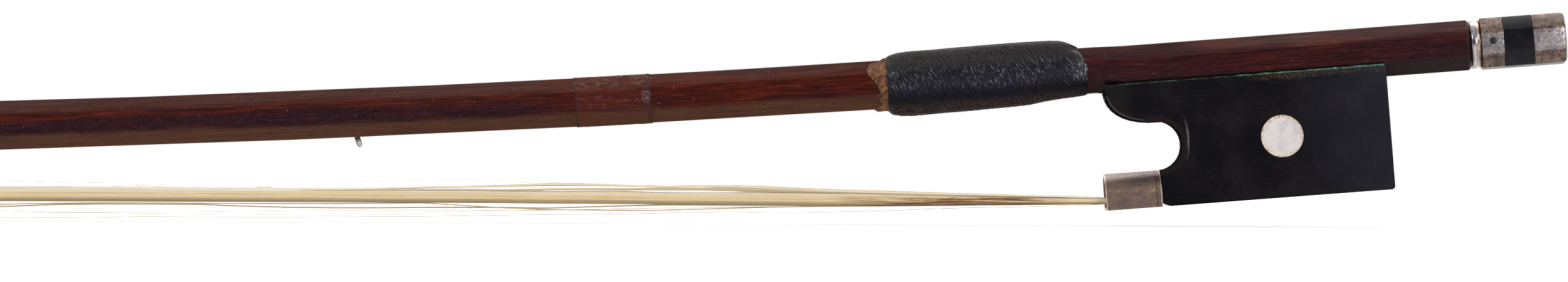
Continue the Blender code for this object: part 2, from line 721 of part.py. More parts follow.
def dovetail(low, high):
    """Section of the slide's dovetail between two heights: wider at the top."""
    bottom = -FROG_BOTTOM

    def half(z):
        return SLIDE_WIDTH / 2 + SLIDE_UNDERCUT * (z - bottom) / SLIDE_DEPTH
    return [(-half(low), low), (half(low), low), (half(high), high), (-half(high), high)]


def widened(section, gap):
    return [(y + math.copysign(gap, y), z) for y, z in section]


TENON_BOTTOM = FERRULE_TOP - FERRULE_WALL - FIT - TENON_DEPTH
MORTISE_FRONT = TONGUE_TIP + FROG_MORTISE_SETBACK
MORTISE_BACK = MORTISE_FRONT + FROG_MORTISE_LENGTH
SLIDE_ROOF = -FROG_BOTTOM + SLIDE_DEPTH
SLIDE_FRONT = FROG_FRONT + 2 * FRONT_CHAMFER
EYELET_X = HEEL - EYELET_SETBACK
HAIR_SLICE_FACE = FERRULE_MOUTH + HAIR_SLICE_SETBACK
TAIL_BEND = FERRULE_BACK - TAIL_BEND_SETBACK


def build_frog(shop, carriage, ebony):
    frog = shop.piece("frog", outline_mesh("frog", frog_outline(), FROG_BOTTOM_WIDTH + 0.002),
                      ebony, carriage, rotation=SIDE_VIEW)
    high, low = -FROG_EDGE_DROP + 0.001, -FROG_BOTTOM - 0.001
    sides = [(-frog_half_width(low), low), (frog_half_width(low), low),
             (frog_half_width(high), high), (-frog_half_width(high), high)]
    keep_inside(frog, x_prism(shop, "frog_sides", sides, TONGUE_TIP - 0.005, HEEL + 0.005, carriage))

    mouth_wall = FERRULE_WALL + FIT
    tenon = x_prism(shop, "frog_tenon", ferrule_section(mouth_wall, TENON_BOTTOM),
                    FERRULE_MOUTH + 0.0008, FROG_FRONT + 0.002, carriage)
    join(frog, tenon)

    channel = [(y, z) for y, z in octagon(CHANNEL_HALF)]
    cut(frog, x_prism(shop, "stick_channel", channel, TONGUE_TIP - 0.01, HEEL + 0.01, carriage))

    roof = SLIDE_ROOF + FIT
    slot = widened(dovetail(-FROG_BOTTOM - 0.0004, roof), SEAT)
    slot_end = SLIDE_FRONT + SLIDE_LENGTH + FIT
    cut(frog, x_prism(shop, "slide_slot", slot, FROG_FRONT - 0.001, slot_end, carriage))

    mortise_top = -FROG_BOTTOM + FROG_MORTISE_DEPTH
    cut(frog, shop.tool("frog_mortise", box_mesh("frog_mortise",
        (FROG_MORTISE_LENGTH, FROG_MORTISE_WIDTH, FROG_MORTISE_DEPTH - SLIDE_DEPTH / 2)), carriage,
        ((MORTISE_FRONT + MORTISE_BACK) / 2, 0, mortise_top - (FROG_MORTISE_DEPTH - SLIDE_DEPTH / 2) / 2)))
    channel_roof = roof + HAIR_CHANNEL_HEIGHT
    channel_length = MORTISE_FRONT - FROG_FRONT + 0.002
    cut(frog, shop.tool("hair_channel", box_mesh("hair_channel",
        (channel_length, FROG_MORTISE_WIDTH, HAIR_CHANNEL_HEIGHT + 0.0002)), carriage,
        (FROG_FRONT - 0.001 + channel_length / 2, 0, channel_roof - (HAIR_CHANNEL_HEIGHT + 0.0002) / 2)))

    stem_bottom = -BUTT_HALF - EYELET_STEM_LENGTH
    hole_length = EYELET_STEM_LENGTH + 2 * FIT
    cut(frog, shop.tool("stem_hole", cylinder_mesh("stem_hole", EYELET_STEM_RADIUS + FIT,
        hole_length + 0.002, 20), carriage, (EYELET_X, 0, stem_bottom - FIT + (hole_length + 0.002) / 2)))

    lean = math.atan2(frog_half_width(-1) - frog_half_width(0), 1)
    for side in (-1, 1):
        eye_y = side * frog_half_width(-EYE_DROP)
        recess = shop.tool("eye_recess", cylinder_mesh("eye_recess", EYE_RADIUS + SEAT,
                           2 * (EYE_THICKNESS + SEAT), 40), carriage,
                           (HEEL - EYE_SETBACK, eye_y, -EYE_DROP), (math.pi / 2 + side * lean, 0, 0))
        cut(frog, recess)
        throat_y = side * (frog_half_width(-THROAT_DROP) - THROAT_CHAMFER)
        flare = shop.tool("throat_flare", cylinder_mesh("throat_flare", THROAT_RADIUS, 4 * THROAT_CHAMFER, 40,
                          THROAT_RADIUS + 4 * THROAT_CHAMFER), carriage,
                          (THROAT_X, throat_y + side * 2 * THROAT_CHAMFER, -THROAT_DROP),
                          (-side * math.pi / 2, 0, 0))
        cut(frog, flare)
    return frog, lean


def build_eyes(shop, carriage, lean, pearl):
    for side, name in ((-1, "eye_near"), (1, "eye_far")):
        inward = EYE_THICKNESS / 2
        y = side * (frog_half_width(-EYE_DROP) - inward * math.cos(lean))
        z = -EYE_DROP - inward * math.sin(lean)
        shop.piece(name, cylinder_mesh(name, EYE_RADIUS, EYE_THICKNESS, 40), pearl, carriage,
                   (HEEL - EYE_SETBACK, y, z), (math.pi / 2 + side * lean, 0, 0), smooth=True)


def underslide_section():
    """Half-open strip round the three lower facets, as one closed outline."""
    top = -FROG_EDGE_DROP + UNDERSLIDE_PROUD
    outer, inner = LINING_HALF + UNDERSLIDE_THICKNESS, LINING_HALF
    section = []
    for half, way in ((outer, 1), (inner, -1)):
        line = [(half * math.sqrt(2) + top, top), (half * OCTAGON, -half)]
        both = line + [(-y, z) for y, z in reversed(line)]
        section += both[::way]
    return section


def build_underslide(shop, carriage, lining_metal, brass):
    start, end = TONGUE_TIP + UNDERSLIDE_FRONT, HEEL - UNDERSLIDE_BACK
    lining = x_prism(shop, "underslide", underslide_section(), start, end, carriage, lining_metal)
    cut(lining, shop.tool("stem_clearance", cylinder_mesh("stem_clearance", EYELET_STEM_RADIUS + 2 * FIT,
        0.004, 20), carriage, (EYELET_X, 0, -LINING_HALF)))
    frog = bpy.data.objects["frog"]
    pin_top = -LINING_HALF - SEAT
    places = (("underslide_pin_back", HEEL - UNDERSLIDE_PIN_BACK),
              ("underslide_pin_front", TONGUE_TIP + UNDERSLIDE_PIN_FRONT))
    for name, x in places:
        hole = shop.tool(name + "_hole", cylinder_mesh(name + "_hole", UNDERSLIDE_PIN_RADIUS + FIT / 2,
                         2 * (UNDERSLIDE_PIN_LENGTH + FIT), 16), carriage, (x, 0, pin_top))
        cut(lining, hole)
        cut(frog, hole)
        pin = cylinder_mesh(name, UNDERSLIDE_PIN_RADIUS, UNDERSLIDE_PIN_LENGTH, 16)
        shop.piece(name, pin, brass, carriage, (x, 0, pin_top - UNDERSLIDE_PIN_LENGTH / 2), smooth=True)


def build_eyelet(shop, carriage, brass):
    """Brass nut: a block with a round top, bored for the screw, on a stem into the frog."""
    half = EYELET_WIDTH / 2
    foot = -BUTT_HALF
    flat, corner = BUTT_HALF * OCTAGON, half - BUTT_HALF * math.sqrt(2)
    section = [(-half, corner), (-flat, foot), (flat, foot), (half, corner)]
    section += arc((0, EYELET_RISE - half), half, 0, math.pi, 12)
    eyelet = x_prism(shop, "eyelet", section, EYELET_X - EYELET_LENGTH / 2, EYELET_X + EYELET_LENGTH / 2,
                     carriage, brass, smooth=True)
    stem_length = EYELET_STEM_LENGTH + 0.0005
    join(eyelet, shop.tool("eyelet_stem", cylinder_mesh("eyelet_stem", EYELET_STEM_RADIUS, stem_length, 20),
         carriage, (EYELET_X, 0, foot - EYELET_STEM_LENGTH + stem_length / 2)))
    cut(eyelet, shop.tool("eyelet_bore", cylinder_mesh("eyelet_bore", SCREW_BORE, 2 * EYELET_LENGTH, 24),
        carriage, (EYELET_X, 0, 0), ALONG_X))


def build_ferrule(shop, carriage, silver, pale_wood):
    ferrule = x_prism(shop, "ferrule", ferrule_section(0), FERRULE_MOUTH, FERRULE_BACK, carriage, silver,
                      smooth=True)
    cut(ferrule, x_prism(shop, "ferrule_hollow", ferrule_section(FERRULE_WALL), FERRULE_MOUTH - 0.001,
        FERRULE_BACK + 0.001, carriage))
    wedge_top = TENON_BOTTOM - SEAT
    wedge_low = wedge_top - WEDGE_THICKNESS
    start, end = HAIR_SLICE_FACE, TAIL_BEND - 0.8 * HAIR_BUNDLE_AT_FERRULE
    outline = [(start, wedge_low), (end, wedge_low + 0.3 * WEDGE_THICKNESS), (end, wedge_top),
               (start, wedge_top)]
    shop.piece("ferrule_wedge", outline_mesh("ferrule_wedge", outline, HAIR_WIDTH_AT_FERRULE), pale_wood,
               carriage, rotation=SIDE_VIEW)


def build_slide(shop, carriage, ebony, pearl):
    facing_top = -FROG_BOTTOM + PEARL_THICKNESS
    end = SLIDE_FRONT + SLIDE_LENGTH
    x_prism(shop, "slide", dovetail(facing_top + SEAT, SLIDE_ROOF), SLIDE_FRONT, end, carriage, ebony)
    x_prism(shop, "slide_pearl", dovetail(-FROG_BOTTOM, facing_top), SLIDE_FRONT, end, carriage, pearl)


def build_frog_knot(shop, carriage, pale_wood, tied):
    """The hair's tied end in the frog, its flat stretch to the ferrule, and the plug."""
    roof = SLIDE_ROOF + FIT
    top = -FROG_BOTTOM + FROG_MORTISE_DEPTH - FIT
    front = MORTISE_FRONT + FIT
    thick = HAIR_BUNDLE_AT_FERRULE
    low = roof + FIT
    mouth_low = FERRULE_FLOOR + FIT
    tail_end = HAIR_SLICE_FACE + HAIR_SLICE + FIT
    bend = TAIL_BEND
    slot = front + TAIL_GAP - 2 * FIT
    outline = [(tail_end, mouth_low), (bend, mouth_low), (FROG_FRONT - FIT, low), (slot, low),
               (slot, top - KNOT_HEIGHT + FIT), (front + KNOT_LENGTH, top - KNOT_HEIGHT + FIT),
               (front + KNOT_LENGTH, top), (front, top), (front, low + thick),
               (FROG_FRONT - FIT, low + thick), (bend - thick / 2, mouth_low + thick),
               (tail_end, mouth_low + thick)]
    shop.piece("frog_hair_knot", outline_mesh("frog_hair_knot", outline, FROG_MORTISE_WIDTH - 4 * FIT), tied,
               carriage, rotation=SIDE_VIEW)
    plug_back = MORTISE_BACK - FIT
    plug_front = front + TAIL_GAP
    plug_top = top - KNOT_HEIGHT - FIT
    plug = [(plug_front, low), (plug_back, low), (plug_back, plug_top), (plug_front, plug_top)]
    shop.piece("frog_plug", outline_mesh("frog_plug", plug, FROG_MORTISE_WIDTH - 2 * FIT), pale_wood,
               carriage, rotation=SIDE_VIEW)


# Button and screw

RING_FRONT = BUTTON_GAP + COLLAR_LENGTH + SEAT
RING_BACK = RING_FRONT + FRONT_RING_LENGTH
CAP_FRONT = RING_BACK + CORE_LENGTH
CAP_BACK = CAP_FRONT + END_CAP_LENGTH
SPIGOT_RADIUS = BUTTON_WIDTH / 2 - BUTTON_WALL


def button_prism(shop, name, start, end, axis, material):
    section = [(y * math.cos(BUTTON_ROLL) - z * math.sin(BUTTON_ROLL),
                y * math.sin(BUTTON_ROLL) + z * math.cos(BUTTON_ROLL)) for y, z in octagon(BUTTON_WIDTH / 2)]
    return x_prism(shop, name, section, start, end, axis, material)


def build_button(shop, axis, silver, bright, ebony, steel):
    back = BUTTON_GAP + COLLAR_LENGTH
    full, sunk = COLLAR_RADIUS, COLLAR_RADIUS - COLLAR_GROOVE
    recess = NIPPLE_RADIUS + FIT
    recess_end = NIPPLE_LENGTH + FIT
    share = COLLAR_LENGTH / 7
    outside = [(back, sunk), (back - share, full), (back - 2 * share, sunk), (BUTTON_GAP + 4 * share, sunk),
               (BUTTON_GAP + 3.4 * share, full), (BUTTON_GAP + share, full), (BUTTON_GAP, sunk)]
    inside = [(BUTTON_GAP, recess), (recess_end, recess), (recess_end, SCREW_BORE), (back, SCREW_BORE)]
    turned_piece(shop, "button_collar", outside + inside, bright, axis)

    ring = button_prism(shop, "button_front_ring", RING_FRONT, RING_BACK - SEAT, axis, silver)
    hollow = shop.tool("front_ring_hollow", cylinder_mesh("front_ring_hollow", SPIGOT_RADIUS + SEAT,
                       4 * FRONT_RING_LENGTH, 32), axis, (RING_FRONT, 0, 0), ALONG_X)
    cut(ring, hollow)
    pin_reach = BUTTON_WIDTH / 2 - RING_PIN_LENGTH
    hole_depth = RING_PIN_LENGTH + SEAT
    pin_x = (RING_FRONT + RING_BACK) / 2
    pin_tilt = math.pi / 2 + BUTTON_ROLL
    middle = pin_reach + RING_PIN_LENGTH / 2
    spot = (pin_x, -middle * math.cos(BUTTON_ROLL), -middle * math.sin(BUTTON_ROLL))
    pin_hole = shop.tool("ring_pin_hole", cylinder_mesh("ring_pin_hole", RING_PIN_RADIUS + SEAT,
                         2 * hole_depth, 16), axis, spot, (pin_tilt, 0, 0))
    cut(ring, pin_hole)
    shop.piece("button_ring_pin", cylinder_mesh("button_ring_pin", RING_PIN_RADIUS, RING_PIN_LENGTH, 16),
               steel, axis, spot, (pin_tilt, 0, 0), smooth=True)

    core = button_prism(shop, "button_core", RING_BACK, CAP_FRONT, axis, ebony)
    cup_end = CAP_BACK - END_CAP_FLOOR
    spigot_length = cup_end - FIT - RING_FRONT
    spigot = shop.tool("core_spigot", cylinder_mesh("core_spigot", SPIGOT_RADIUS, spigot_length, 32), axis,
                       (RING_FRONT + spigot_length / 2, 0, 0), ALONG_X)
    join(core, spigot)
    hole_length = 2 * (CAP_FRONT - RING_FRONT)
    cut(core, shop.tool("core_bore", cylinder_mesh("core_bore", SCREW_RADIUS + SEAT, hole_length, 24), axis,
        (RING_FRONT, 0, 0), ALONG_X))
    cut(core, pin_hole)

    section = octagon(BUTTON_WIDTH / 2)
    small = octagon(BUTTON_WIDTH / 2 - END_CAP_ROUND)
    mid = octagon(BUTTON_WIDTH / 2 - 0.3 * END_CAP_ROUND)
    rings = [[(x, y, z) for y, z in shape] for x, shape in (
        (CAP_FRONT + SEAT, section), (CAP_BACK - END_CAP_ROUND, section),
        (CAP_BACK - 0.3 * END_CAP_ROUND, mid), (CAP_BACK, small))]
    cap = shop.piece("button_end_cap", loft_mesh("button_end_cap", rings), silver, axis,
                     rotation=(BUTTON_ROLL, 0, 0))
    cup_length = 2 * (cup_end - CAP_FRONT)
    cut(cap, shop.tool("cap_cup", cylinder_mesh("cap_cup", SPIGOT_RADIUS + SEAT, cup_length, 32), axis,
        (CAP_FRONT, 0, 0), ALONG_X))


def build_screw(shop, axis, steel):
    head = RING_FRONT + (CAP_FRONT - RING_FRONT) - FIT
    shoulder = -(SCREW_REACH - SCREW_TIP_LENGTH)
    rings = []
    for x, radius in ((head, SCREW_RADIUS), (shoulder, SCREW_RADIUS), (shoulder - 0.0006, SCREW_TIP_RADIUS),
                      (-SCREW_REACH + 0.0005, SCREW_TIP_RADIUS), (-SCREW_REACH, 0.6 * SCREW_TIP_RADIUS)):
        rings.append([(x, radius * math.cos(2 * math.pi * k / 24), radius * math.sin(2 * math.pi * k / 24))
                      for k in range(24)])
    shop.piece("screw", loft_mesh("screw", rings), steel, axis, smooth=True)


# Wrappings on the stick

def wrap(shop, name, start, stations, gap, material, root):
    """A sleeve round the stick. A station is a distance from the start and two thicknesses."""
    inner = [stick_ring(start + along, gap, gap) for along, _, _ in stations]
    outer = [stick_ring(start + along, gap + above, gap + below, gap + (above + below) / 2)
             for along, above, below in stations]
    return shop.piece(name, sleeve_mesh(name, inner, outer), material, root)


def build_wrappings(shop, root, leather, suede, gum, steel):
    lining_gap = SEAT
    leather_gap = lining_gap + LINING_THICKNESS + SEAT
    edge, top, low = LEATHER_EDGE, LEATHER_TOP - leather_gap, LEATHER_BOTTOM - leather_gap
    length = LEATHER_LENGTH
    stations = [(0, edge, edge), (0.06 * length, 0.8 * top, edge), (0.12 * length, top, 0.4 * low),
                (0.3 * length, top, low), (0.6 * length, top, low), (0.88 * length, top, low),
                (0.97 * length, 0.8 * top, 0.8 * low), (length, edge, edge)]
    wrap(shop, "thumb_leather", LEATHER_START, stations, leather_gap, leather, root)
    thin = LINING_THICKNESS
    start = LEATHER_START + LINING_SETBACK
    length = LINING_LENGTH
    stations = [(length * k / 4, thin, thin) for k in range(5)]
    wrap(shop, "leather_lining", start, stations, lining_gap, suede, root)
    stations = [(BAND_LENGTH * k / 2, BAND_THICKNESS, BAND_THICKNESS) for k in range(3)]
    wrap(shop, "stick_band", BAND_START, stations, SEAT, gum, root)

    slope = camber_slope(WINDING_PIN_AT)
    surface = stick_centre(WINDING_PIN_AT) - stick_width(WINDING_PIN_AT) / 2
    length = WINDING_PIN_SHOWN + WINDING_PIN_SUNK
    lean = math.atan(slope) + WINDING_PIN_LEAN
    drop = (WINDING_PIN_SHOWN - WINDING_PIN_SUNK) / 2
    place = (-WINDING_PIN_AT + drop * math.sin(lean), 0, surface - drop * math.cos(lean))
    turn = (0, -lean, 0)
    hole = shop.tool("winding_pin_hole", cylinder_mesh("winding_pin_hole", WINDING_PIN_RADIUS + SEAT,
                     length + 2 * SEAT, 16), root, place, turn)
    cut(bpy.data.objects["stick"], hole)
    work = bmesh.new()
    bmesh.ops.create_cone(work, cap_ends=True, segments=16, radius1=0.5 * WINDING_PIN_RADIUS,
                          radius2=WINDING_PIN_RADIUS, depth=0.25 * WINDING_PIN_SHOWN)
    bmesh.ops.translate(work, verts=work.verts, vec=(0, 0, -length / 2 + 0.125 * WINDING_PIN_SHOWN))
    base = max(vert.co.z for vert in work.verts)
    cap = [face for face in work.faces if all(vert.co.z > base - 1e-7 for vert in face.verts)]
    moved = bmesh.ops.extrude_face_region(work, geom=cap)
    bmesh.ops.delete(work, geom=cap, context="FACES_ONLY")
    ends = [item for item in moved["geom"] if isinstance(item, bmesh.types.BMVert)]
    bmesh.ops.translate(work, verts=ends, vec=(0, 0, length - 0.25 * WINDING_PIN_SHOWN))
    shop.piece("winding_pin", mesh_from_bmesh("winding_pin", work), steel, root, place, turn, smooth=True)


# Hair

def hair_sections():
    """The ribbon's sections from ferrule to head, in the level frame of the head: (place
    along the table, height of the middle, thickness, width, lean of the section)."""
    thick, thin, swell = HAIR_BUNDLE_AT_FERRULE, HAIR_BUNDLE_AT_HEAD, HAIR_BUNDLE_SWELL
    face_x, face_height = level_point(HAIR_SLICE_FACE, FERRULE_FLOOR + FIT + thick / 2)
    middle_width = (HAIR_WIDTH_AT_FERRULE + HAIR_WIDTH_AT_HEAD) / 2
    swollen = HAIR_FLOOR_GAP + swell / 2
    face_lean = math.atan(HEAD_BACK_RISE / HEAD_FLAT_START)
    return [(face_x, face_height, thick, HAIR_WIDTH_AT_FERRULE, TILT),
            (face_x - HAIR_SWELL_FRONT, swollen, swell, HAIR_WIDTH_AT_FERRULE, 0),
            (HAIR_SWELL_BACK, swollen - 0.1 * swell, 0.8 * swell, middle_width, 0),
            (0, plate_underside(0) - HAIR_PLATE_GAP - thin / 2, thin, HAIR_WIDTH_AT_HEAD, face_lean)]


def section_point(section, y, rise, along=0.0):
    x, height, _, _, lean = section
    return (x + along * math.cos(lean) - rise * math.sin(lean), y,
            height + along * math.sin(lean) + rise * math.cos(lean))


def add_strand(work, sections, across, up):
    """One three-sided strand. Returns the edges of its two open ends."""
    rings = []
    for section, radius in zip(sections, (HAIR_END_RADIUS, HAIR_RADIUS, HAIR_RADIUS, HAIR_END_RADIUS)):
        _, _, thick, width, _ = section
        y, rise = across * (width - 4 * radius), up * (thick - 4 * radius)
        turns = [2 * math.pi * k / 3 + math.pi / 2 for k in range(3)]
        rings.append([work.verts.new(section_point(section, y + radius * math.cos(turn),
                                                   rise + radius * math.sin(turn))) for turn in turns])
    for near, far in zip(rings, rings[1:]):
        for k in range(3):
            work.faces.new((near[k], near[(k + 1) % 3], far[(k + 1) % 3], far[k]))
    return [[work.edges.get((ring[k], ring[(k + 1) % 3])) for k in range(3)]
            for ring in (rings[0], rings[-1])]


def add_slice(work, section, depth, strand_edges):
    """The tied slice: a block whose front face is filled in round the strands' ends."""
    _, _, thick, width, _ = section
    corners = [(width / 2, thick / 2), (width / 2, -thick / 2),
               (-width / 2, -thick / 2), (-width / 2, thick / 2)]
    front = [work.verts.new(section_point(section, y, rise)) for y, rise in corners]
    back = [work.verts.new(section_point(section, y, rise, depth)) for y, rise in corners]
    work.faces.new(back)
    for k in range(4):
        work.faces.new((front[k], front[(k + 1) % 4], back[(k + 1) % 4], back[k]))
    rim = [work.edges.get((front[k], front[(k + 1) % 4])) for k in range(4)]
    bmesh.ops.triangle_fill(work, edges=rim + strand_edges, use_beauty=False)


def build_hair(shop, head_frame, straw):
    """Strands that keep their places side by side, fused to a tied slice at each end."""
    rng = random.Random(7)
    sections = hair_sections()
    work = bmesh.new()
    ferrule_ends, head_ends = [], []
    for row in range(HAIR_ROWS):
        for column in range(HAIR_COLUMNS):
            across = (column + 0.5 + rng.uniform(-0.1, 0.1)) / HAIR_COLUMNS - 0.5
            up = (row + 0.5 + rng.uniform(-0.1, 0.1)) / HAIR_ROWS - 0.5
            near, far = add_strand(work, sections, across, up)
            ferrule_ends += near
            head_ends += far
    add_slice(work, sections[0], HAIR_SLICE, ferrule_ends)
    add_slice(work, sections[-1], -HAIR_SLICE, head_ends)
    shop.piece("bow_hair", mesh_from_bmesh("bow_hair", work), straw, head_frame)


# The whole bow

def stand_on_origin(root, parts):
    """Move the root so that the box round the bow stands centred on the origin."""
    bpy.context.view_layer.update()
    graph = bpy.context.evaluated_depsgraph_get()
    corners = []
    for item in parts.objects:
        if item.type == "MESH":
            solid = item.evaluated_get(graph)
            corners += [solid.matrix_world @ vertex.co for vertex in solid.data.vertices]
    low = [min(corner[axis] for corner in corners) for axis in range(3)]
    high = [max(corner[axis] for corner in corners) for axis in range(3)]
    root.location = (-(low[0] + high[0]) / 2, -(low[1] + high[1]) / 2, -low[2])
    bpy.context.view_layer.update()


def build_bow():
    clear_scene()
    shop = Workshop(new_collection("violin_bow"), new_collection("bow_cutters"))
    root = new_empty("bow_frame", shop.parts, rotation=(0, -TILT, 0))
    carriage = new_empty("frog_carriage", shop.parts, root)
    axis = new_empty("screw_axis", shop.parts, root)
    head_frame = new_empty("head_frame", shop.parts, root, (HEAD_ORIGIN_X, 0, HEAD_ORIGIN_Z), (0, TILT, 0))

    wood = principled("stick_wood", (0.16, 0.045, 0.03), 0.35)
    ebony = principled("ebony", (0.02, 0.022, 0.03), 0.3)
    pearl = principled("pearl", (0.78, 0.76, 0.68), 0.25)
    bone = principled("bone", (0.85, 0.80, 0.68), 0.35)
    pale_wood = principled("pale_wood", (0.65, 0.50, 0.32), 0.6)
    silver = principled("tarnished_silver", (0.50, 0.46, 0.43), 0.35, 1.0)
    bright = principled("bright_silver", (0.80, 0.78, 0.74), 0.2, 1.0)
    verdigris = principled("lining_metal", (0.30, 0.45, 0.33), 0.5, 0.7)
    brass = principled("brass", (0.75, 0.58, 0.28), 0.3, 1.0)
    steel = principled("steel", (0.60, 0.60, 0.60), 0.3, 1.0)
    leather = principled("black_leather", (0.02, 0.02, 0.025), 0.5)
    suede = principled("tan_suede", (0.45, 0.24, 0.10), 0.9)
    gum = principled("gum_band", (0.22, 0.10, 0.06), 0.6)
    straw = principled("horse_hair", (0.80, 0.74, 0.58), 0.45)
    tied = principled("tied_hair", (0.62, 0.54, 0.38), 0.7)

    stick, head_mortise = build_stick(shop, root, head_frame, wood)
    build_head_face(shop, root, head_frame, head_mortise, ebony, bone, pale_wood, tied)
    frog, lean = build_frog(shop, carriage, ebony)
    build_eyes(shop, carriage, lean, pearl)
    build_underslide(shop, carriage, verdigris, brass)
    build_eyelet(shop, carriage, brass)
    build_ferrule(shop, carriage, silver, pale_wood)
    build_slide(shop, carriage, ebony, pearl)
    build_frog_knot(shop, carriage, pale_wood, tied)
    build_button(shop, axis, silver, bright, ebony, steel)
    build_screw(shop, axis, steel)
    build_wrappings(shop, root, leather, suede, gum, steel)
    build_hair(shop, head_frame, straw)

    stand_on_origin(root, shop.parts)


build_bow()
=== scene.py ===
"""Looks of the violin bow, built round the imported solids.

The camera sees the lower end of the bow from the side, as the photograph does. Local
places are given along the screw axis (x, negative towards the head), across (y) and
up from that axis (z), and bow_point() turns them into the row frame. Lengths are in
metres where nothing else is said, and colours are sRGB bytes.
"""

import json
import random
from math import atan, atan2, cos, degrees, floor, hypot, pi, radians, sin

import bmesh
import bpy
import numpy as np
from mathutils import Matrix, Vector, noise
from mathutils.bvhtree import BVHTree


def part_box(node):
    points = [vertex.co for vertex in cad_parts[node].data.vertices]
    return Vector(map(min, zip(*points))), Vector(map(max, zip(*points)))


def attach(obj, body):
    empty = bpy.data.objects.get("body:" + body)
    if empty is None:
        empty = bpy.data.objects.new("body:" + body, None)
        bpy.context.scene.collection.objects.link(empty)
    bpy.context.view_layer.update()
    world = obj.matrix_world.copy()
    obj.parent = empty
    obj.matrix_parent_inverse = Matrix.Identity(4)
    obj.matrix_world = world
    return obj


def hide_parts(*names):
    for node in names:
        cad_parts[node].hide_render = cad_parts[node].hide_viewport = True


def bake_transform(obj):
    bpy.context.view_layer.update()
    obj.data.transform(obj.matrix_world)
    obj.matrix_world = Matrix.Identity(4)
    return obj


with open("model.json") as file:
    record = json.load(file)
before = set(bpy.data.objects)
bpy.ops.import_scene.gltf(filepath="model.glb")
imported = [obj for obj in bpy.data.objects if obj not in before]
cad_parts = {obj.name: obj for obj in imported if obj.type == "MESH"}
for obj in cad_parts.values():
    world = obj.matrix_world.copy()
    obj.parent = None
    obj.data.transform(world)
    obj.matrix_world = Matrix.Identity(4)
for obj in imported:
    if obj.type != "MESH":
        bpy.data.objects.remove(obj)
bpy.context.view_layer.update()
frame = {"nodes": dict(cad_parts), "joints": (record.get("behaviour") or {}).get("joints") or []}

MM = 0.001

# The frame's own line: the screw axis, with the butt end of the stick at 0
TURN = next(joint for joint in frame["joints"] if joint["name"] == "button_turn")
BUTT = Vector(TURN["pos_m"])
SCREW = -Vector(TURN["axis"]).normalized()
LIFT = Vector((-SCREW.z, 0, SCREW.x))
TILT = atan2(SCREW.z, SCREW.x)


def bow_point(x, y, z):
    return BUTT + SCREW * x + Vector((0, y, 0)) + LIFT * z


def bow_place(point):
    """A point of the row frame, as (along, across, up) in the screw's frame."""
    offset = point - BUTT
    return offset.dot(SCREW), offset.y, offset.dot(LIFT)


# Camera, from the photograph
PHOTO_WIDTH = 2500
PHOTO_HEIGHT = 450
PIXELS_PER_METRE = 9400
BUTT_PIXEL = (2342, 72)
PHOTO_SLOPE = atan(0.075)      # of the screw axis in the photograph
CAMERA_DISTANCE = 1.7
ROLL = TILT - PHOTO_SLOPE
CAMERA_RIGHT = Vector((cos(ROLL), 0, sin(ROLL)))
CAMERA_UP = Vector((-sin(ROLL), 0, cos(ROLL)))


def photo_point(pixel_x, pixel_y):
    """Where a pixel of the photograph lies, in the bow's middle plane."""
    across = (pixel_x - BUTT_PIXEL[0]) / PIXELS_PER_METRE
    up = (BUTT_PIXEL[1] - pixel_y) / PIXELS_PER_METRE
    return BUTT + CAMERA_RIGHT * across + CAMERA_UP * up


def new_object(name, data):
    made = bpy.data.objects.new(name, data)
    bpy.context.scene.collection.objects.link(made)
    return made


def make_camera():
    data = bpy.data.cameras.new("photo_camera")
    data.sensor_fit = "HORIZONTAL"
    data.sensor_width = 36
    data.lens = data.sensor_width * CAMERA_DISTANCE * PIXELS_PER_METRE / PHOTO_WIDTH
    data.clip_start, data.clip_end = 0.05, 20
    data.dof.use_dof = False
    camera = new_object("photo_camera", data)
    centre = photo_point(PHOTO_WIDTH / 2, PHOTO_HEIGHT / 2)
    back = Vector((0, -1, 0))
    turn = Matrix((CAMERA_RIGHT, CAMERA_UP, back)).transposed()
    camera.matrix_world = Matrix.Translation(centre + back * CAMERA_DISTANCE) @ turn.to_4x4()
    bpy.context.scene.camera = camera
    bpy.context.scene.view_settings.view_transform = "Standard"


# Nodes

LEVEL = (0, 0, 0)
ALONG = (0, TILT, 0)        # turns a material's grain to the screw axis
BOW = "bow_place"           # the stored place: along the bow, across it and up
SOCKETS = {"colour": "Base Color", "roughness": "Roughness", "metallic": "Metallic", "normal": "Normal",
           "specular": "Specular IOR Level", "sheen": "Sheen Weight", "subsurface": "Subsurface Weight",
           "transmission": "Transmission Weight"}


def linear(colour):
    """sRGB bytes as the linear values that sockets take."""
    levels = [byte / 255 for byte in colour]
    return tuple(level / 12.92 if level < 0.04 else ((level + 0.055) / 1.055) ** 2.4 for level in levels)


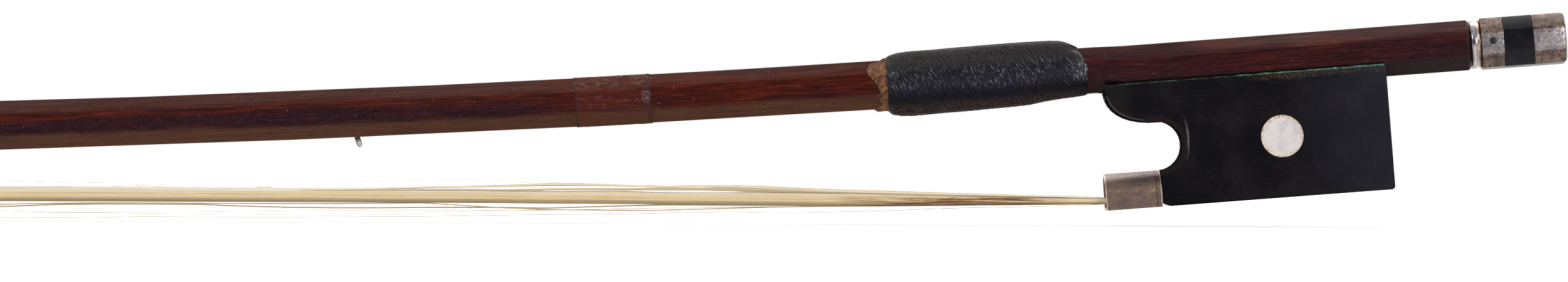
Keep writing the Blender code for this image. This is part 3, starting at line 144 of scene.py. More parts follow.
class Value:
    """A node's output, so that sums of nodes are written as sums."""

    def __init__(self, nodes, socket):
        self.nodes = nodes
        self.socket = socket

    def __add__(self, other):
        return self.nodes.math("ADD", self, other)

    def __sub__(self, other):
        return self.nodes.math("SUBTRACT", self, other)

    def __rsub__(self, other):
        return self.nodes.math("SUBTRACT", other, self)

    def __mul__(self, other):
        return self.nodes.math("MULTIPLY", self, other)

    def __truediv__(self, other):
        return self.nodes.math("DIVIDE", self, other)

    def __neg__(self):
        return self * -1.0

    def __abs__(self):
        return self.nodes.math("ABSOLUTE", self)

    def root(self):
        return self.nodes.math("SQRT", self)

    def most(self, other):
        """The larger of the two."""
        return self.nodes.math("MAXIMUM", self, other)

    def clamped(self):
        self.socket.node.use_clamp = True
        return self

    def band(self, low, high):
        """0 up to low, 1 from high on, and a smooth step between. With low over high it falls."""
        limits = {"From Min": low, "From Max": high}
        return self.nodes.value("ShaderNodeMapRange", "Result", {"Value": self, **limits},
                                interpolation_type="SMOOTHSTEP")

    def ramp(self, places, *tones):
        """Colours, or plain levels, at places from 0 to 1."""
        made = self.nodes.value("ShaderNodeValToRGB", "Color", {"Fac": self})
        points = made.socket.node.color_ramp.elements
        while len(points) < len(tones):
            points.new(0.5)
        for point, place, tone in zip(points, places, tones):
            point.position = place
            point.color = (*(linear(tone) if isinstance(tone, tuple) else (tone,) * 3), 1.0)
        return made

    def mixed(self, share, other):
        return self.nodes.value("ShaderNodeMix", "Result", {"Factor": share, "A": self, "B": other},
                                data_type="RGBA")

    def under(self, *layers):
        """This colour under layers of (share, colour)."""
        result = self
        for share, tone in layers:
            result = result.mixed(share, tone)
        return result

    def parts(self):
        made = self.nodes.value("ShaderNodeSeparateXYZ", "X", {0: self})
        return made, made.beside("Y"), made.beside("Z")

    def beside(self, name):
        """Another output of the same node."""
        return Value(self.nodes, self.socket.node.outputs[name])


class Nodes:
    """Short names for the nodes of a tree."""

    def __init__(self, tree):
        self.tree = tree

    def plug(self, socket, value):
        if isinstance(value, Value):
            self.tree.links.new(value.socket, socket)
        elif isinstance(value, tuple) and len(socket.default_value) == 4:
            socket.default_value = (*linear(value), 1.0)
        else:
            socket.default_value = value

    def value(self, kind, output, inputs, **settings):
        """An output of a new node, whose inputs are constants or other nodes' outputs."""
        made = self.tree.nodes.new(kind)
        for key, setting in settings.items():
            setattr(made, key, setting)
        for key, given in inputs.items():
            self.plug(made.inputs[key], given)
        return Value(self, made.outputs[output])

    def math(self, operation, one, two=0.0):
        return self.value("ShaderNodeMath", 0, {0: one, 1: two}, operation=operation)

    def vector(self, operation, *values):
        return self.value("ShaderNodeVectorMath", 1 if operation == "LENGTH" else 0,
                          dict(enumerate(values)), operation=operation)

    def place(self, scale=1, turn=LEVEL, of=None):
        """Object coordinates, in metres, or a stored place, scaled."""
        source = (self.value("ShaderNodeTexCoord", "Object", {}) if of is None
                  else self.value("ShaderNodeAttribute", "Vector", {}, attribute_name=of))
        scale = scale if isinstance(scale, tuple) else (scale,) * 3
        return self.value("ShaderNodeMapping", "Vector", {"Vector": source, "Scale": scale, "Rotation": turn})

    def slanted(self, vector, size, lean):
        """The vector turned by lean, in cells of that size."""
        cells = {"Scale": (*size, 1), "Rotation": (0, 0, lean)}
        return self.value("ShaderNodeMapping", "Vector", {"Vector": vector, **cells}, vector_type="TEXTURE")

    def cells(self, vector, feature="F1"):
        """The distance within the cells that the vector runs through."""
        return self.value("ShaderNodeTexVoronoi", "Distance", {"Vector": vector, "Scale": 1.0},
                          feature=feature)

    def clouds(self, vector, scale=1.0, detail=3.0, rough=0.55, distortion=0.0):
        return self.value("ShaderNodeTexNoise", "Fac", {"Vector": vector, "Scale": scale, "Detail": detail,
                                                        "Roughness": rough, "Distortion": distortion})

    def noise(self, scale, detail=3.0, rough=0.55, distortion=0.0, turn=LEVEL, of=None):
        """Noise with scale cells a metre, or one scale for each axis."""
        return self.clouds(self.place(scale, turn, of), 1.0, detail, rough, distortion)

    def drift(self, vector, scale):
        """A smooth random vector."""
        return self.value("ShaderNodeTexNoise", "Color", {"Vector": vector, "Scale": scale})

    def strokes(self, vector, size, lean, width, reach, shift=0.0):
        """Short slanting strokes, one to a cell of that size, and a random value for each cell."""
        vector = self.slanted(vector, size, lean)
        cell = self.value("ShaderNodeTexVoronoi", "Position", {"Vector": vector, "Scale": 1.0},
                          voronoi_dimensions="2D")
        aside, along, _ = self.vector("SUBTRACT", vector, cell).parts()
        along = along / reach
        body = 1.0 - abs(aside + shift) / width - along * along
        return body.band(0.0, 0.45), cell.beside("Color").parts()[0]

    def bump(self, height, strength, distance):
        return self.value("ShaderNodeBump", "Normal",
                          {"Height": height, "Strength": strength, "Distance": distance})


class Paint(Nodes):
    """A material with a Principled shader."""

    def __init__(self, name):
        self.made = bpy.data.materials.new(name)
        self.made.use_nodes = True
        super().__init__(self.made.node_tree)

    def set(self, **values):
        for key, value in values.items():
            self.plug(self.tree.nodes["Principled BSDF"].inputs[SOCKETS[key]], value)
        return self.made

    def bow(self):
        """The stored place, as along, across and up."""
        return self.place(of=BOW).parts()

    def stored(self, name):
        return self.value("ShaderNodeAttribute", "Fac", {}, attribute_name=name)

    def facing(self):
        """1 where the surface faces straight across the bow, 0 where it faces along it or up."""
        return abs(self.value("ShaderNodeNewGeometry", "Normal", {}).parts()[1])


# Paints

THIRDS = (0.30, 0.55, 0.80)
FOURTHS = (0.30, 0.46, 0.60, 0.76)
RED_PLACES = (0.30, 0.45, 0.58, 0.76)
THROAT = (0.0541, 0.0131)           # of the frog's round throat: how far before the butt and under the axis
THROAT_HIGHLIGHT_ARC = (0.04888, 0.0121, 0.0316)   # of the painted highlight line behind the throat, and how flat its curve is
GRIME = (1310, 1450, 1600, 1720)    # pixels across between which rosin and dirt brown the hair
GRIME_HEIGHT = (312, 316)           # pixels down at which that begins
GRIME_MIDDLE = (1500, 320)


def wood_tones(paint):
    """The stick's colour by height round it and by place along it, as the photograph shows it."""
    along = paint.bow()[0]
    level = paint.stored("ratio") + (paint.noise((55, 420, 420), 4, of=BOW) - 0.5) * 0.5
    streaks = paint.noise((130, 3000, 3000), 5, 0.62, of=BOW)
    fine = paint.noise((420, 9500, 9500), of=BOW)
    haze = paint.noise(5200, 2, of=BOW)
    patches = paint.noise((38, 260, 260), of=BOW)
    # 0 at the photograph's left edge and 1 at the butt
    run = (along / 0.25 + 1.0).clamped()
    warm = run.ramp((0.0, 0.24, 0.36, 0.41, 0.60, 0.745, 0.80, 0.83, 0.90, 0.93, 1.0),
                    0.10, 0.05, 0.20, 0.95, 0.90, 0.25, 0.35, 0.95, 0.85, 0.30, 0.35)
    warm = (warm * (patches.band(0.30, 0.70) + 0.55)).clamped()
    near_frog = run.band(0.66, 0.76)
    red_far = streaks.ramp(RED_PLACES, (38, 8, 6), (58, 16, 9), (80, 25, 13), (116, 46, 22))
    red_near = streaks.ramp(RED_PLACES, (34, 9, 12), (48, 14, 17), (66, 20, 19), (98, 38, 28))
    red = red_far.mixed(near_frog, red_near)
    dusk = streaks.ramp((0.30, 0.50, 0.72), (26, 9, 16), (38, 14, 23), (52, 22, 28))
    side = dusk.under((warm, red), (level.band(0.04, 0.26) * (0.9 - near_frog * 0.35), red))
    # painted light: the top's tones are lighter, as lit from above, and away from the frog the underside's
    # tones are lighter, as lit by the floor
    lit_top_far = streaks.ramp(THIRDS, (56, 27, 22), (76, 41, 33), (100, 60, 46))
    lit_top_near = streaks.ramp(THIRDS, (38, 18, 19), (55, 29, 29), (80, 48, 44))
    lit_top_butt = streaks.ramp(THIRDS, (50, 30, 29), (80, 55, 53), (108, 80, 76))
    lit_low_far = streaks.ramp(THIRDS, (72, 42, 31), (91, 56, 42), (108, 70, 50))
    lit_low_near = streaks.ramp(THIRDS, (24, 12, 16), (36, 19, 23), (52, 31, 32))
    redder = warm * patches.band(0.45, 0.62)
    top = lit_top_far.under((near_frog, lit_top_near.mixed(run.band(0.79, 0.84), lit_top_butt)),
                        (redder * 0.6, (94, 44, 30)))
    low = lit_low_far.mixed(near_frog, lit_low_near)
    head = along.band(-0.672, -0.700)
    grey = haze.band(0.52, 0.68) * (1.0 - warm)
    pores = fine.band(0.58, 0.68)
    light = (1.0 - fine).band(0.58, 0.70)
    # painted light: the lighter top and underside tones laid over the side by height round the stick
    colour = side.under((level.band(0.46, 0.72), top), ((-level).band(0.32, 0.56), low),
                        (head, lit_top_far.mixed(0.5, lit_low_far)), (grey * 0.22, (84, 70, 78)),
                        (pores * 0.60, (20, 8, 10)), (light * 0.32, (124, 66, 46)))
    return colour, fine, pores


def wood_paint():
    paint = Paint("stick_wood")
    colour, fine, pores = wood_tones(paint)
    dust = paint.cells(paint.place(620)).band(0.052, 0.030)
    return paint.set(colour=colour.mixed(dust * 0.8, (186, 168, 152)), specular=0.13,
                     roughness=fine * 0.16 + 0.20, normal=paint.bump(fine - pores, 0.20, 0.00004))


def frog_wear_and_highlights(paint, colour, scratches, marks):
    """The frog's broken upper edge, its browned tongue with a painted highlight along the tongue's edge, the
    painted highlight behind its throat and a brownish band round the throat's rim.
    """
    facing = paint.facing()
    along, _, up = paint.bow()
    crumbs = paint.noise((700, 1500, 1500), 5, 0.7, of=BOW)
    edge = (up + (crumbs - 0.5) * 0.0022).band(-0.0035, -0.0030) * along.band(-0.040, -0.033)
    grains = edge * paint.noise(3800, 2).band(0.55, 0.66)
    browned = along.band(-0.056, -0.0615) * up.band(-0.0040, -0.0070)
    on_tongue = along.band(-0.0545, -0.0565) * up.band(-0.0032, -0.0045)
    # painted highlight along the tongue's bevelled edge, where the surface turns from the side
    tongue_edge_highlight = facing.band(0.90, 0.94) * facing.band(0.996, 0.985)
    aside, rise = along + THROAT[0], up + THROAT[1]
    reach = (aside * aside + rise * rise).root()
    rim = reach.band(0.0054, 0.0046) * (along.band(-0.047, -0.0485) * up.band(-0.0060, -0.0085))
    # painted highlight: a thin light crescent behind the throat
    rise = up + THROAT_HIGHLIGHT_ARC[1]
    off = abs(along + THROAT_HIGHLIGHT_ARC[0] + rise * rise / THROAT_HIGHLIGHT_ARC[2])
    line = off.band(0.00027, 0.00005) * abs(rise).band(0.0042, 0.0) * (scratches.band(0.40, 0.56) + 0.35)
    colour = colour.under((edge * 0.85, (44, 33, 28)), (grains * 0.75, (120, 106, 84)),
                          (browned * 0.5, (40, 31, 26)), (along.band(-0.036, -0.014) * 0.6, (42, 41, 51)),
                          (tongue_edge_highlight * on_tongue * 0.6, (104, 96, 92)), (rim * 0.8, (40, 35, 33)),
                          (line * 0.7, (112, 110, 114)))
    return colour, facing.band(0.60, 0.92) * (1.0 - rim) * 0.13, marks.most(edge * crumbs)


def ebony_paint(name="ebony", worn=False):
    """Polished ebony with fine scratches. worn adds what shows on the frog alone: its wear and its painted
    highlights.
    """
    paint = Paint(name)
    grain = paint.noise((150, 3400, 3400), 4, turn=ALONG)
    scratches = paint.noise((6400, 900, 1500), 3, 0.6, 0.5, turn=(0, 0.35, 0))
    crossed = paint.noise((1500, 900, 7600), 3, 0.6, 0.4, turn=ALONG)
    haze = paint.noise(150)
    marks = scratches.band(0.58, 0.68) * haze.band(0.38, 0.58)
    lines = crossed.band(0.61, 0.69) * haze.band(0.42, 0.58)
    colour = grain.ramp((0.30, 0.60, 0.85), (12, 11, 16), (17, 15, 21), (27, 23, 28))
    colour = colour.under((haze.band(0.46, 0.66) * 0.30, (34, 29, 30)),
                          (marks.most(lines) * 0.20, (76, 70, 78)))
    specular = 0.22
    if worn:
        colour, specular, marks = frog_wear_and_highlights(paint, colour, scratches, marks)
    return paint.set(colour=colour, specular=specular, roughness=haze * 0.26 + 0.20,
                     normal=paint.bump(grain + marks * 0.6, 0.20, 0.00005))


def pearl_paint(name="pearl", aged_rim=None):
    """Mother-of-pearl. aged_rim is the round inlay's middle and radius, for its chipped, tanned edge."""
    paint = Paint(name)
    mottle = paint.noise(420, 5, 0.65, 0.6)
    specks = paint.noise(2600)
    colour = mottle.ramp((0.30, 0.48, 0.60, 0.76),
                         (200, 192, 188), (220, 214, 213), (228, 222, 220), (214, 204, 190))
    colour = colour.mixed(specks.band(0.60, 0.72) * 0.35, (176, 160, 146))
    if aged_rim:
        middle, radius = aged_rim
        offset = paint.vector("MULTIPLY", paint.vector("SUBTRACT", paint.place(), middle), (1, 0, 1))
        reach = paint.vector("LENGTH", offset) / radius
        cream = specks.ramp((0.34, 0.48, 0.62), (176, 148, 120), (216, 200, 176), (234, 226, 212))
        colour = colour.mixed((reach + (paint.noise(900) - 0.5) * 0.20).band(0.82, 0.96), cream)
    return paint.set(colour=colour, roughness=0.40, specular=0.4,
                     normal=paint.bump(mottle + specks, 0.15, 0.0001))


def worm_pits(paint):
    """Corrosion: short dark branching pits."""
    vector = paint.place(1500)
    bent = paint.value("ShaderNodeMix", "Result", {"Factor": 0.5, "A": vector, "B": paint.drift(vector, 1.2)},
                       data_type="VECTOR")
    return abs(paint.clouds(bent, 2.4, 1.0) - 0.5).band(0.045, 0.020)


def silver_paint():
    """The ferrule: brown tarnish along it, a painted highlight on its upper shoulder over a painted darker
    band, and bright rims.
    """
    paint = Paint("tarnished_silver")
    along, _, up = paint.bow()
    clouds = paint.noise((420, 900, 900), 6, 0.72, 0.4, of=BOW)
    spots = paint.noise(3600, 3, 0.6)
    lines = paint.noise((330, 9000, 9000), of=BOW)
    spotted = spots.band(0.53, 0.61) * clouds.band(0.36, 0.52)
    rust = spots.band(0.42, 0.34) * clouds.band(0.50, 0.40)
    wavy = up + (clouds - 0.5) * 0.0006
    # painted highlight along the upper shoulder, and a painted darker band just below it
    shoulder_highlight = wavy.band(-0.01835, -0.01800)
    below = wavy.band(-0.01940, -0.01870) * wavy.band(-0.01825, -0.01845)
    seam = along.band(-0.05500, -0.05490) * along.band(-0.05470, -0.05480)
    rims = along.band(-0.06325, -0.06340).most(along.band(-0.05425, -0.05410))
    colour = clouds.ramp((0.28, 0.42, 0.55, 0.70),
                         (104, 92, 96), (128, 112, 114), (152, 124, 104), (172, 150, 132))
    colour = colour.under((spotted * 0.65, (60, 48, 48)), (lines.band(0.55, 0.66) * 0.40, (82, 68, 68)),
                          (shoulder_highlight * 0.55, (136, 119, 110)), (rust * 0.45, (150, 108, 78)),
                          (below * 0.35, (88, 78, 80)), (seam * 0.6, (58, 44, 44)),
                          (rims * 0.8, (226, 208, 200)))
    return paint.set(colour=colour, metallic=0.80, roughness=(clouds + spotted) * 0.22 + 0.28,
                     normal=paint.bump(lines * 0.4 - spotted, 0.35, 0.00005))


def button_paint():
    """The button's two silver pieces: pitted bright side flats, and brown stains on the other flats."""
    paint = Paint("pitted_silver")
    _, across, up = paint.bow()
    side = abs(up).band(0.00190, 0.00172) * abs(across).band(0.0030, 0.0034)
    clouds = paint.noise(640, 5, 0.65, turn=ALONG)
    grime = paint.noise(2400, 4, 0.65, turn=ALONG)
    eaten = worm_pits(paint) * grime.band(0.42, 0.50)
    stained = clouds.ramp(FOURTHS, (84, 68, 65), (114, 96, 90), (148, 126, 110), (122, 109, 108))
    bright = clouds.ramp((0.30, 0.52, 0.72), (140, 129, 131), (168, 157, 158), (194, 184, 184))
    colour = stained.under((grime.band(0.50, 0.60) * 0.7, (62, 48, 46)),
                           (side, bright.mixed(eaten * 0.9, (62, 50, 58))))
    pitted = eaten * side
    return paint.set(colour=colour, metallic=0.80, roughness=(clouds + pitted) * 0.22 + 0.28,
                     normal=paint.bump(grime * 0.5 - pitted, 0.45, 0.00006))


def bright_paint():
    """The turned collar: bright, with copper and dark grooves beside the front ring."""
    paint = Paint("bright_silver")
    along = paint.bow()[0]
    clouds = paint.noise(700)
    copper = along.band(0.00150, 0.00160) * along.band(0.00192, 0.00182)
    stain = along.band(0.0007, 0.0003)
    groove = along.band(0.00186, 0.00192)
    colour = clouds.ramp((0.32, 0.50, 0.70), (178, 156, 138), (206, 198, 196), (228, 226, 232))
    colour = colour.under((copper, (156, 112, 84)), (stain * 0.6, (122, 112, 112)), (groove, (50, 38, 40)))
    return paint.set(colour=colour, metallic=1.0, roughness=clouds * 0.16 + 0.14,
                     normal=paint.bump(paint.noise((9000, 60, 60), 2, of=BOW), 0.18, 0.00003))


def metal_paint(name, dark, light, rough):
    paint = Paint(name)
    turned = paint.noise((2400, 260, 260), turn=ALONG)
    return paint.set(colour=turned.ramp((0.30, 0.70), dark, light), metallic=1.0,
                     roughness=turned * 0.2 + rough, normal=paint.bump(turned, 0.15, 0.00004))


def grained_paint(name, noise, places, tones, relief, **settings):
    """One noise, which gives both the colours and the relief. relief is its strength and distance."""
    paint = Paint(name)
    grain = paint.noise(**noise)
    return paint.set(colour=grain.ramp(places, *tones), normal=paint.bump(grain, *relief), **settings)


def bone_paint():
    return grained_paint("bone", {"scale": (120, 1400, 1400), "detail": 4}, THIRDS,
                         ((198, 180, 146), (226, 214, 188), (238, 230, 210)), (0.15, 0.00005),
                         roughness=0.36, specular=0.5, subsurface=0.05)


def verdigris_paint():
    return grained_paint("lining_metal", {"scale": 1500, "detail": 5, "rough": 0.7}, FOURTHS,
                         ((30, 44, 36), (56, 98, 76), (98, 142, 114), (150, 178, 154)), (0.6, 0.0001),
                         metallic=0.15, roughness=0.7)


def pale_wood_paint():
    return grained_paint("pale_wood", {"scale": (90, 1500, 1500), "detail": 4, "turn": ALONG}, THIRDS,
                         ((150, 112, 72), (188, 152, 104), (212, 182, 138)), (0.3, 0.00006), roughness=0.6)


def glue_paint():
    return grained_paint("dried_glue", {"scale": 2600}, THIRDS,
                         ((70, 52, 46), (104, 86, 76), (150, 134, 122)), (0.4, 0.0001),
                         roughness=0.5, specular=0.5)


def thread_paint():
    return grained_paint("tied_hair", {"scale": (160, 4200, 4200), "detail": 4}, (0.30, 0.52, 0.76),
                         ((128, 100, 62), (206, 180, 130), (236, 220, 184)), (0.5, 0.0001), roughness=0.7)


def pin_paint():
    """The winding pin: painted shade, bright where it faces across the bow and dark round its edge, and dark
    in its hole.
    """
    paint = Paint("pin_steel_painted_shade")
    grit = paint.noise(3800, 3, 0.7)
    # painted shade: the colour follows which way the surface faces, dark where it turns away round the edge
    colour = paint.facing().ramp((0.20, 0.55, 0.90), (78, 68, 66), (168, 158, 152), (234, 228, 222))
    colour = colour.under((grit.band(0.48, 0.60) * 0.6, (112, 104, 104)),
                          (paint.stored("ratio").band(-1.24, -1.08) * 0.90, (40, 31, 31)))
    return paint.set(colour=colour, metallic=0.5, roughness=0.42, normal=paint.bump(grit, 0.4, 0.00006))


# The leather's creases, in turns of its wrapping: cell size, lean, width, reach and share
CREASES = (((0.66, 1.25), -0.43, 0.070, 0.46, 1.0),
           ((0.54, 0.86), -0.56, 0.070, 0.42, 0.7),
           ((0.95, 0.80), 0.55, 0.045, 0.42, 0.5))


def crease_strokes(paint, wrap):
    """Painted highlights on the creases' lips and painted shade in their beds."""
    bent = paint.vector("MULTIPLY_ADD", paint.drift(wrap, 0.8), (0.7, 0.7, 0), wrap)
    lip_highlights, crease_shades = [], []
    for size, lean, width, reach, share in CREASES:
        lip_highlight, chance = paint.strokes(bent, size, lean, width, reach)
        crease_shade, _ = paint.strokes(bent, size, lean, 0.20, 0.52, 0.15)
        shown = chance.band(0.15, 0.80) * share
        lip_highlights.append(lip_highlight * shown)
        crease_shades.append(crease_shade * (shown * 0.6 + 0.4))
    return lip_highlights[0].most(lip_highlights[1]).most(lip_highlights[2]), crease_shades[0].most(crease_shades[1]).most(crease_shades[2])


def leather_paint():
    """Black leather: fine slanting creases, with painted highlights on their lips along the near side and
    painted shade in their beds.
    """
    paint = Paint("black_leather")
    pores = paint.noise(5200)
    rubbed = paint.noise(300, 4)
    height = paint.stored("ridge")
    ratio = paint.stored("ratio")
    below = -ratio
    along = paint.bow()[0]
    wrap = paint.place(of="wrap")
    lip_highlight, crease_shade = crease_strokes(paint, wrap)
    pebbles = paint.cells(paint.slanted(wrap, (0.30, 0.34), 0.0), "DISTANCE_TO_EDGE").band(0.03, 0.30)
    patchy = rubbed.band(0.30, 0.62)
    crease_shade = crease_shade * below.band(0.80, 0.30)
    # the band along the near side where the painted highlights show
    shown = ratio.band(0.75, 0.30) * below.band(0.62, 0.15)
    lit = lip_highlight * (shown * (patchy + 0.25) + ratio.band(0.30, 0.80) * 0.22)
    # the cracked end near the frog, with painted glints on it
    split = along.band(-0.0678, -0.0660) * abs(ratio - 0.05).band(0.60, 0.20)
    cracked_end_glints = paint.noise(1900, 4, 0.7).band(0.53, 0.62) * split
    # painted shade: darker where the grain is lower, in the creases
    colour = height.ramp((0.15, 0.60, 0.95), (6, 6, 9), (16, 15, 23), (27, 26, 37))
    colour = colour.under((below.band(0.72, 1.12) * pebbles, (92, 73, 65)),
                          # partly dust and partly painted sheen: a lighter brown-grey on the top's raised
                          # grain
                          (ratio.band(0.40, 0.95) * height.band(0.40, 0.95), (50, 41, 40)),
                          # painted shade in the creases' beds
                          (crease_shade * 0.85, (7, 7, 11)),
                          # painted highlights on the creases' lips
                          ((lit * 0.75).clamped(), (150, 148, 160)),
                          # painted glints on the cracked end
                          (cracked_end_glints * 0.75, (172, 172, 186)),
                          (pores.band(0.63, 0.70) * patchy * 0.5, (92, 86, 82)))
    turned = abs(ratio).band(0.70, 1.05)
    dull = turned.most(below.band(0.0, 0.5))
    return paint.set(colour=colour, specular=0.24 - dull * 0.16,
                     roughness=rubbed * 0.20 + 0.18 + turned * 0.30,
                     normal=paint.bump(pores * 0.5 + (pebbles * 0.5 - crease_shade), 0.35, 0.00006))


def suede_paint():
    paint = Paint("tan_suede")
    tufts = paint.noise(1100, 4, distortion=0.8)
    stains = paint.noise(420, 3, distortion=0.5)
    colour = stains.ramp((0.30, 0.46, 0.60, 0.80), (70, 42, 34), (98, 60, 42), (126, 82, 52), (154, 108, 66))
    colour = colour.under((tufts.band(0.50, 0.66) * 0.55, (170, 124, 76)),
                          ((1.0 - tufts).band(0.54, 0.68) * 0.6, (62, 42, 32)))
    return paint.set(colour=colour, roughness=0.92, sheen=0.2, specular=0.2,
                     normal=paint.bump(paint.noise(2600, 5, 0.72) + tufts * 2.0, 0.9, 0.00014))


def gum_paint():
    """The wood under a thin gum: dark ends, bloom on its side, dirt on its top and one pale spot."""
    paint = Paint("gum_band")
    smears = paint.noise((700, 900, 900), 4, distortion=0.8, of=BOW)
    along = paint.bow()[0]
    ratio = paint.stored("ratio")
    ends = along.band(-0.1512, -0.1518).most(along.band(-0.1400, -0.1392))
    bloom = smears.band(0.57, 0.66) * abs(ratio).band(0.36, 0.16)
    dirt = smears.band(0.50, 0.60) * ratio.band(0.50, 0.70)
    spot = abs(along + 0.1398).band(0.0009, 0.0002) * abs(ratio - 0.12).band(0.34, 0.10)
    spot = spot * paint.noise(2600).band(0.44, 0.60)
    # the stick's tones, with their painted light on the top and underside, under the gum
    colour = wood_tones(paint)[0].under((0.30, (84, 34, 22)),
                                        (ends * smears.band(0.40, 0.56) * 0.75, (46, 34, 36)),
                                        (bloom * 0.5, (96, 72, 84)), (dirt * 0.6, (96, 80, 70)),
                                        (spot * 0.6, (132, 112, 112)))
    return paint.set(colour=colour, specular=0.16, roughness=smears * 0.3 + 0.28,
                     normal=paint.bump(smears, 0.3, 0.0001))


def hair_paint(name="horse_hair", strands=False, clear=0.0):
    """Pale straw. strands draws the close-lying hairs on the ribbon's body; clear lets light through."""
    paint = Paint(name)
    tone = paint.stored("tone")
    if strands:
        lines = paint.noise((20, 5200, 5200), 5, 0.75)
        tone = (tone + (lines - 0.5) * 1.3).clamped()
        paint.set(normal=paint.bump(lines, 0.4, 0.00008))
    x, _, z = paint.place().parts()
    starts, full, thins, ends = (photo_point(pixel, GRIME_MIDDLE[1]).x for pixel in GRIME)
    top, low = (photo_point(GRIME_MIDDLE[0], pixel).z for pixel in GRIME_HEIGHT)
    grimy = x.band(starts, full) * x.band(ends, thins) * z.band(top, low)
    streaks = paint.noise((110, 2600, 2600), 4, 0.65)
    colour = tone.ramp((0.0, 0.16, 0.42, 0.75, 1.0),
                       (92, 60, 40), (168, 126, 76), (228, 198, 142), (248, 232, 196), (254, 250, 238))
    colour = colour.under((paint.noise((60, 3500, 3500)).band(0.5, 0.68) * 0.3, (212, 176, 116)),
                          (grimy * streaks.band(0.38, 0.54), (166, 120, 72)),
                          (grimy * streaks.band(0.51, 0.59) * 0.85, (98, 68, 46)))
    return paint.set(colour=colour, roughness=0.42, specular=0.4, sheen=0.1, transmission=clear)


def lint_paint():
    paint = Paint("lint")
    colour = paint.noise(900).ramp((0.35, 0.65), (124, 100, 84), (172, 152, 132))
    return paint.set(colour=colour, roughness=0.6, specular=0.3)


# Pieces

FLATS = 4.25 * MM           # half the butt's width across its flats


def new_piece(name, mesh, paint, body=None):
    mesh.materials.clear()
    mesh.materials.append(paint)
    made = new_object(name, mesh)
    if body:
        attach(made, body)
    return made


def turns(count):
    """Angles once round the stick: 0 on the far side, a quarter turn on the top."""
    return [2 * pi * k / count for k in range(count)]


def unit(value):
    return min(1.0, max(0.0, value))


def ripple(x, y, z):
    """A smooth random value from -1 to 1."""
    return noise.noise(Vector((x, y, z)))


def read_stick_line():
    """(place along, middle height, half thickness) of the stick, read from the frame's solid."""
    solid = frame["nodes"]["stick"].data
    tree = BVHTree.FromPolygons([vertex.co for vertex in solid.vertices],
                                [tuple(face.vertices) for face in solid.polygons])
    line = [(-0.055, 0.0, FLATS), (0.0, 0.0, FLATS)]
    for step in range(5, 129):      # from the head to the eyelet's slot
        x = -0.705 + 0.005 * step
        top, low = (bow_place(tree.ray_cast(bow_point(x, 0.5 * MM, 0.2 * side), LIFT * -side)[0])[2]
                    for side in (1, -1))
        line.append((x, (top + low) / 2, (top - low) / 2))
    return np.array(sorted(line))


STICK_LINE = read_stick_line()


def stick_line(x):
    """(middle height, half thickness) of the stick at a place along the bow."""
    return tuple(float(np.interp(x, STICK_LINE[:, 0], STICK_LINE[:, k])) for k in (1, 2))


def octagon_radius(half, angle):
    part = (angle + pi / 8) % (pi / 4) - pi / 8
    return half / cos(part)


def around_stick(x, angle, height, shift=0.0):
    """A point at that height over the stick's flats, moved along them by shift."""
    middle, half = stick_line(x)
    radius = octagon_radius(half, angle) + height
    return bow_point(x + shift, radius * cos(angle), middle + radius * sin(angle))


def store_value(mesh, name, kind, values):
    stored = mesh.attributes.new(name, kind, "POINT")
    field = "vector" if kind == "FLOAT_VECTOR" else "value"
    stored.data.foreach_set(field, np.asarray(values, np.float32).ravel())


def store_place(mesh, straight=False):
    """Keeps each point's place along the bow, across it and up, and its height in half thicknesses."""
    places, ratios = [], []
    for vertex in mesh.vertices:
        x, y, z = bow_place(vertex.co)
        middle, half = (0.0, FLATS) if straight else stick_line(x)
        places.append((x, y, z - middle))
        ratios.append((z - middle) / half)
    store_value(mesh, BOW, "FLOAT_VECTOR", places)
    store_value(mesh, "ratio", "FLOAT", ratios)


def solid_copy(node):
    """The frame's own solid, with its flat faces in one piece."""
    work = bmesh.new()
    work.from_mesh(frame["nodes"][node].data)
    bmesh.ops.remove_doubles(work, verts=work.verts, dist=0.000004)
    bmesh.ops.dissolve_limit(work, angle_limit=radians(0.6), verts=work.verts, edges=work.edges)
    return work


def bevel_edges(work, edges, width, segments, clamp=False):
    bmesh.ops.bevel(work, geom=edges, offset=width, offset_type="OFFSET", segments=segments, profile=0.5,
                    affect="EDGES", clamp_overlap=clamp)


def smooth_mesh(name, work):
    mesh = bpy.data.meshes.new(name)
    work.to_mesh(mesh)
    work.free()
    mesh.shade_smooth()
    return mesh


def shade_evenly(piece):
    even = piece.modifiers.new("even_shading", "WEIGHTED_NORMAL")
    even.keep_sharp = True
    even.weight = 80


def finer_copy(node, paint, body, width, name=None, place=False, angle=30, segments=2, pick=None,
               cuts=()):
    """The frame's own solid with its edges rounded off, shown in place of the node. Cuts across it, at those
    places along the bow, keep the stored places true where it is cambered."""
    name = name or node + "_worn"
    limit = radians(angle)
    work = solid_copy(node)
    sharp = [edge for edge in work.edges
             if edge.is_manifold and edge.calc_face_angle(0) > limit and (pick is None or pick(edge))]
    bevel_edges(work, sharp, width, segments, clamp=True)
    bmesh.ops.remove_doubles(work, verts=work.verts, dist=0.000001)
    for x in cuts:
        bmesh.ops.bisect_plane(work, geom=work.verts[:] + work.edges[:] + work.faces[:], dist=0.0000001,
                               plane_co=bow_point(x, 0, 0), plane_no=SCREW)
    mesh = smooth_mesh(name, work)
    mesh.set_sharp_from_angle(angle=radians(50 / segments))
    if place:
        store_place(mesh)
    piece = new_piece(name, mesh, paint, body)
    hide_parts(node)
    return piece


def along_stick(edge):
    """True for the long edges of the stick and the head, and not for bores and slots."""
    x, y, z = bow_place((edge.verts[0].co + edge.verts[1].co) / 2)
    middle, half = stick_line(x)
    return hypot(y, z - middle) > 0.9 * half


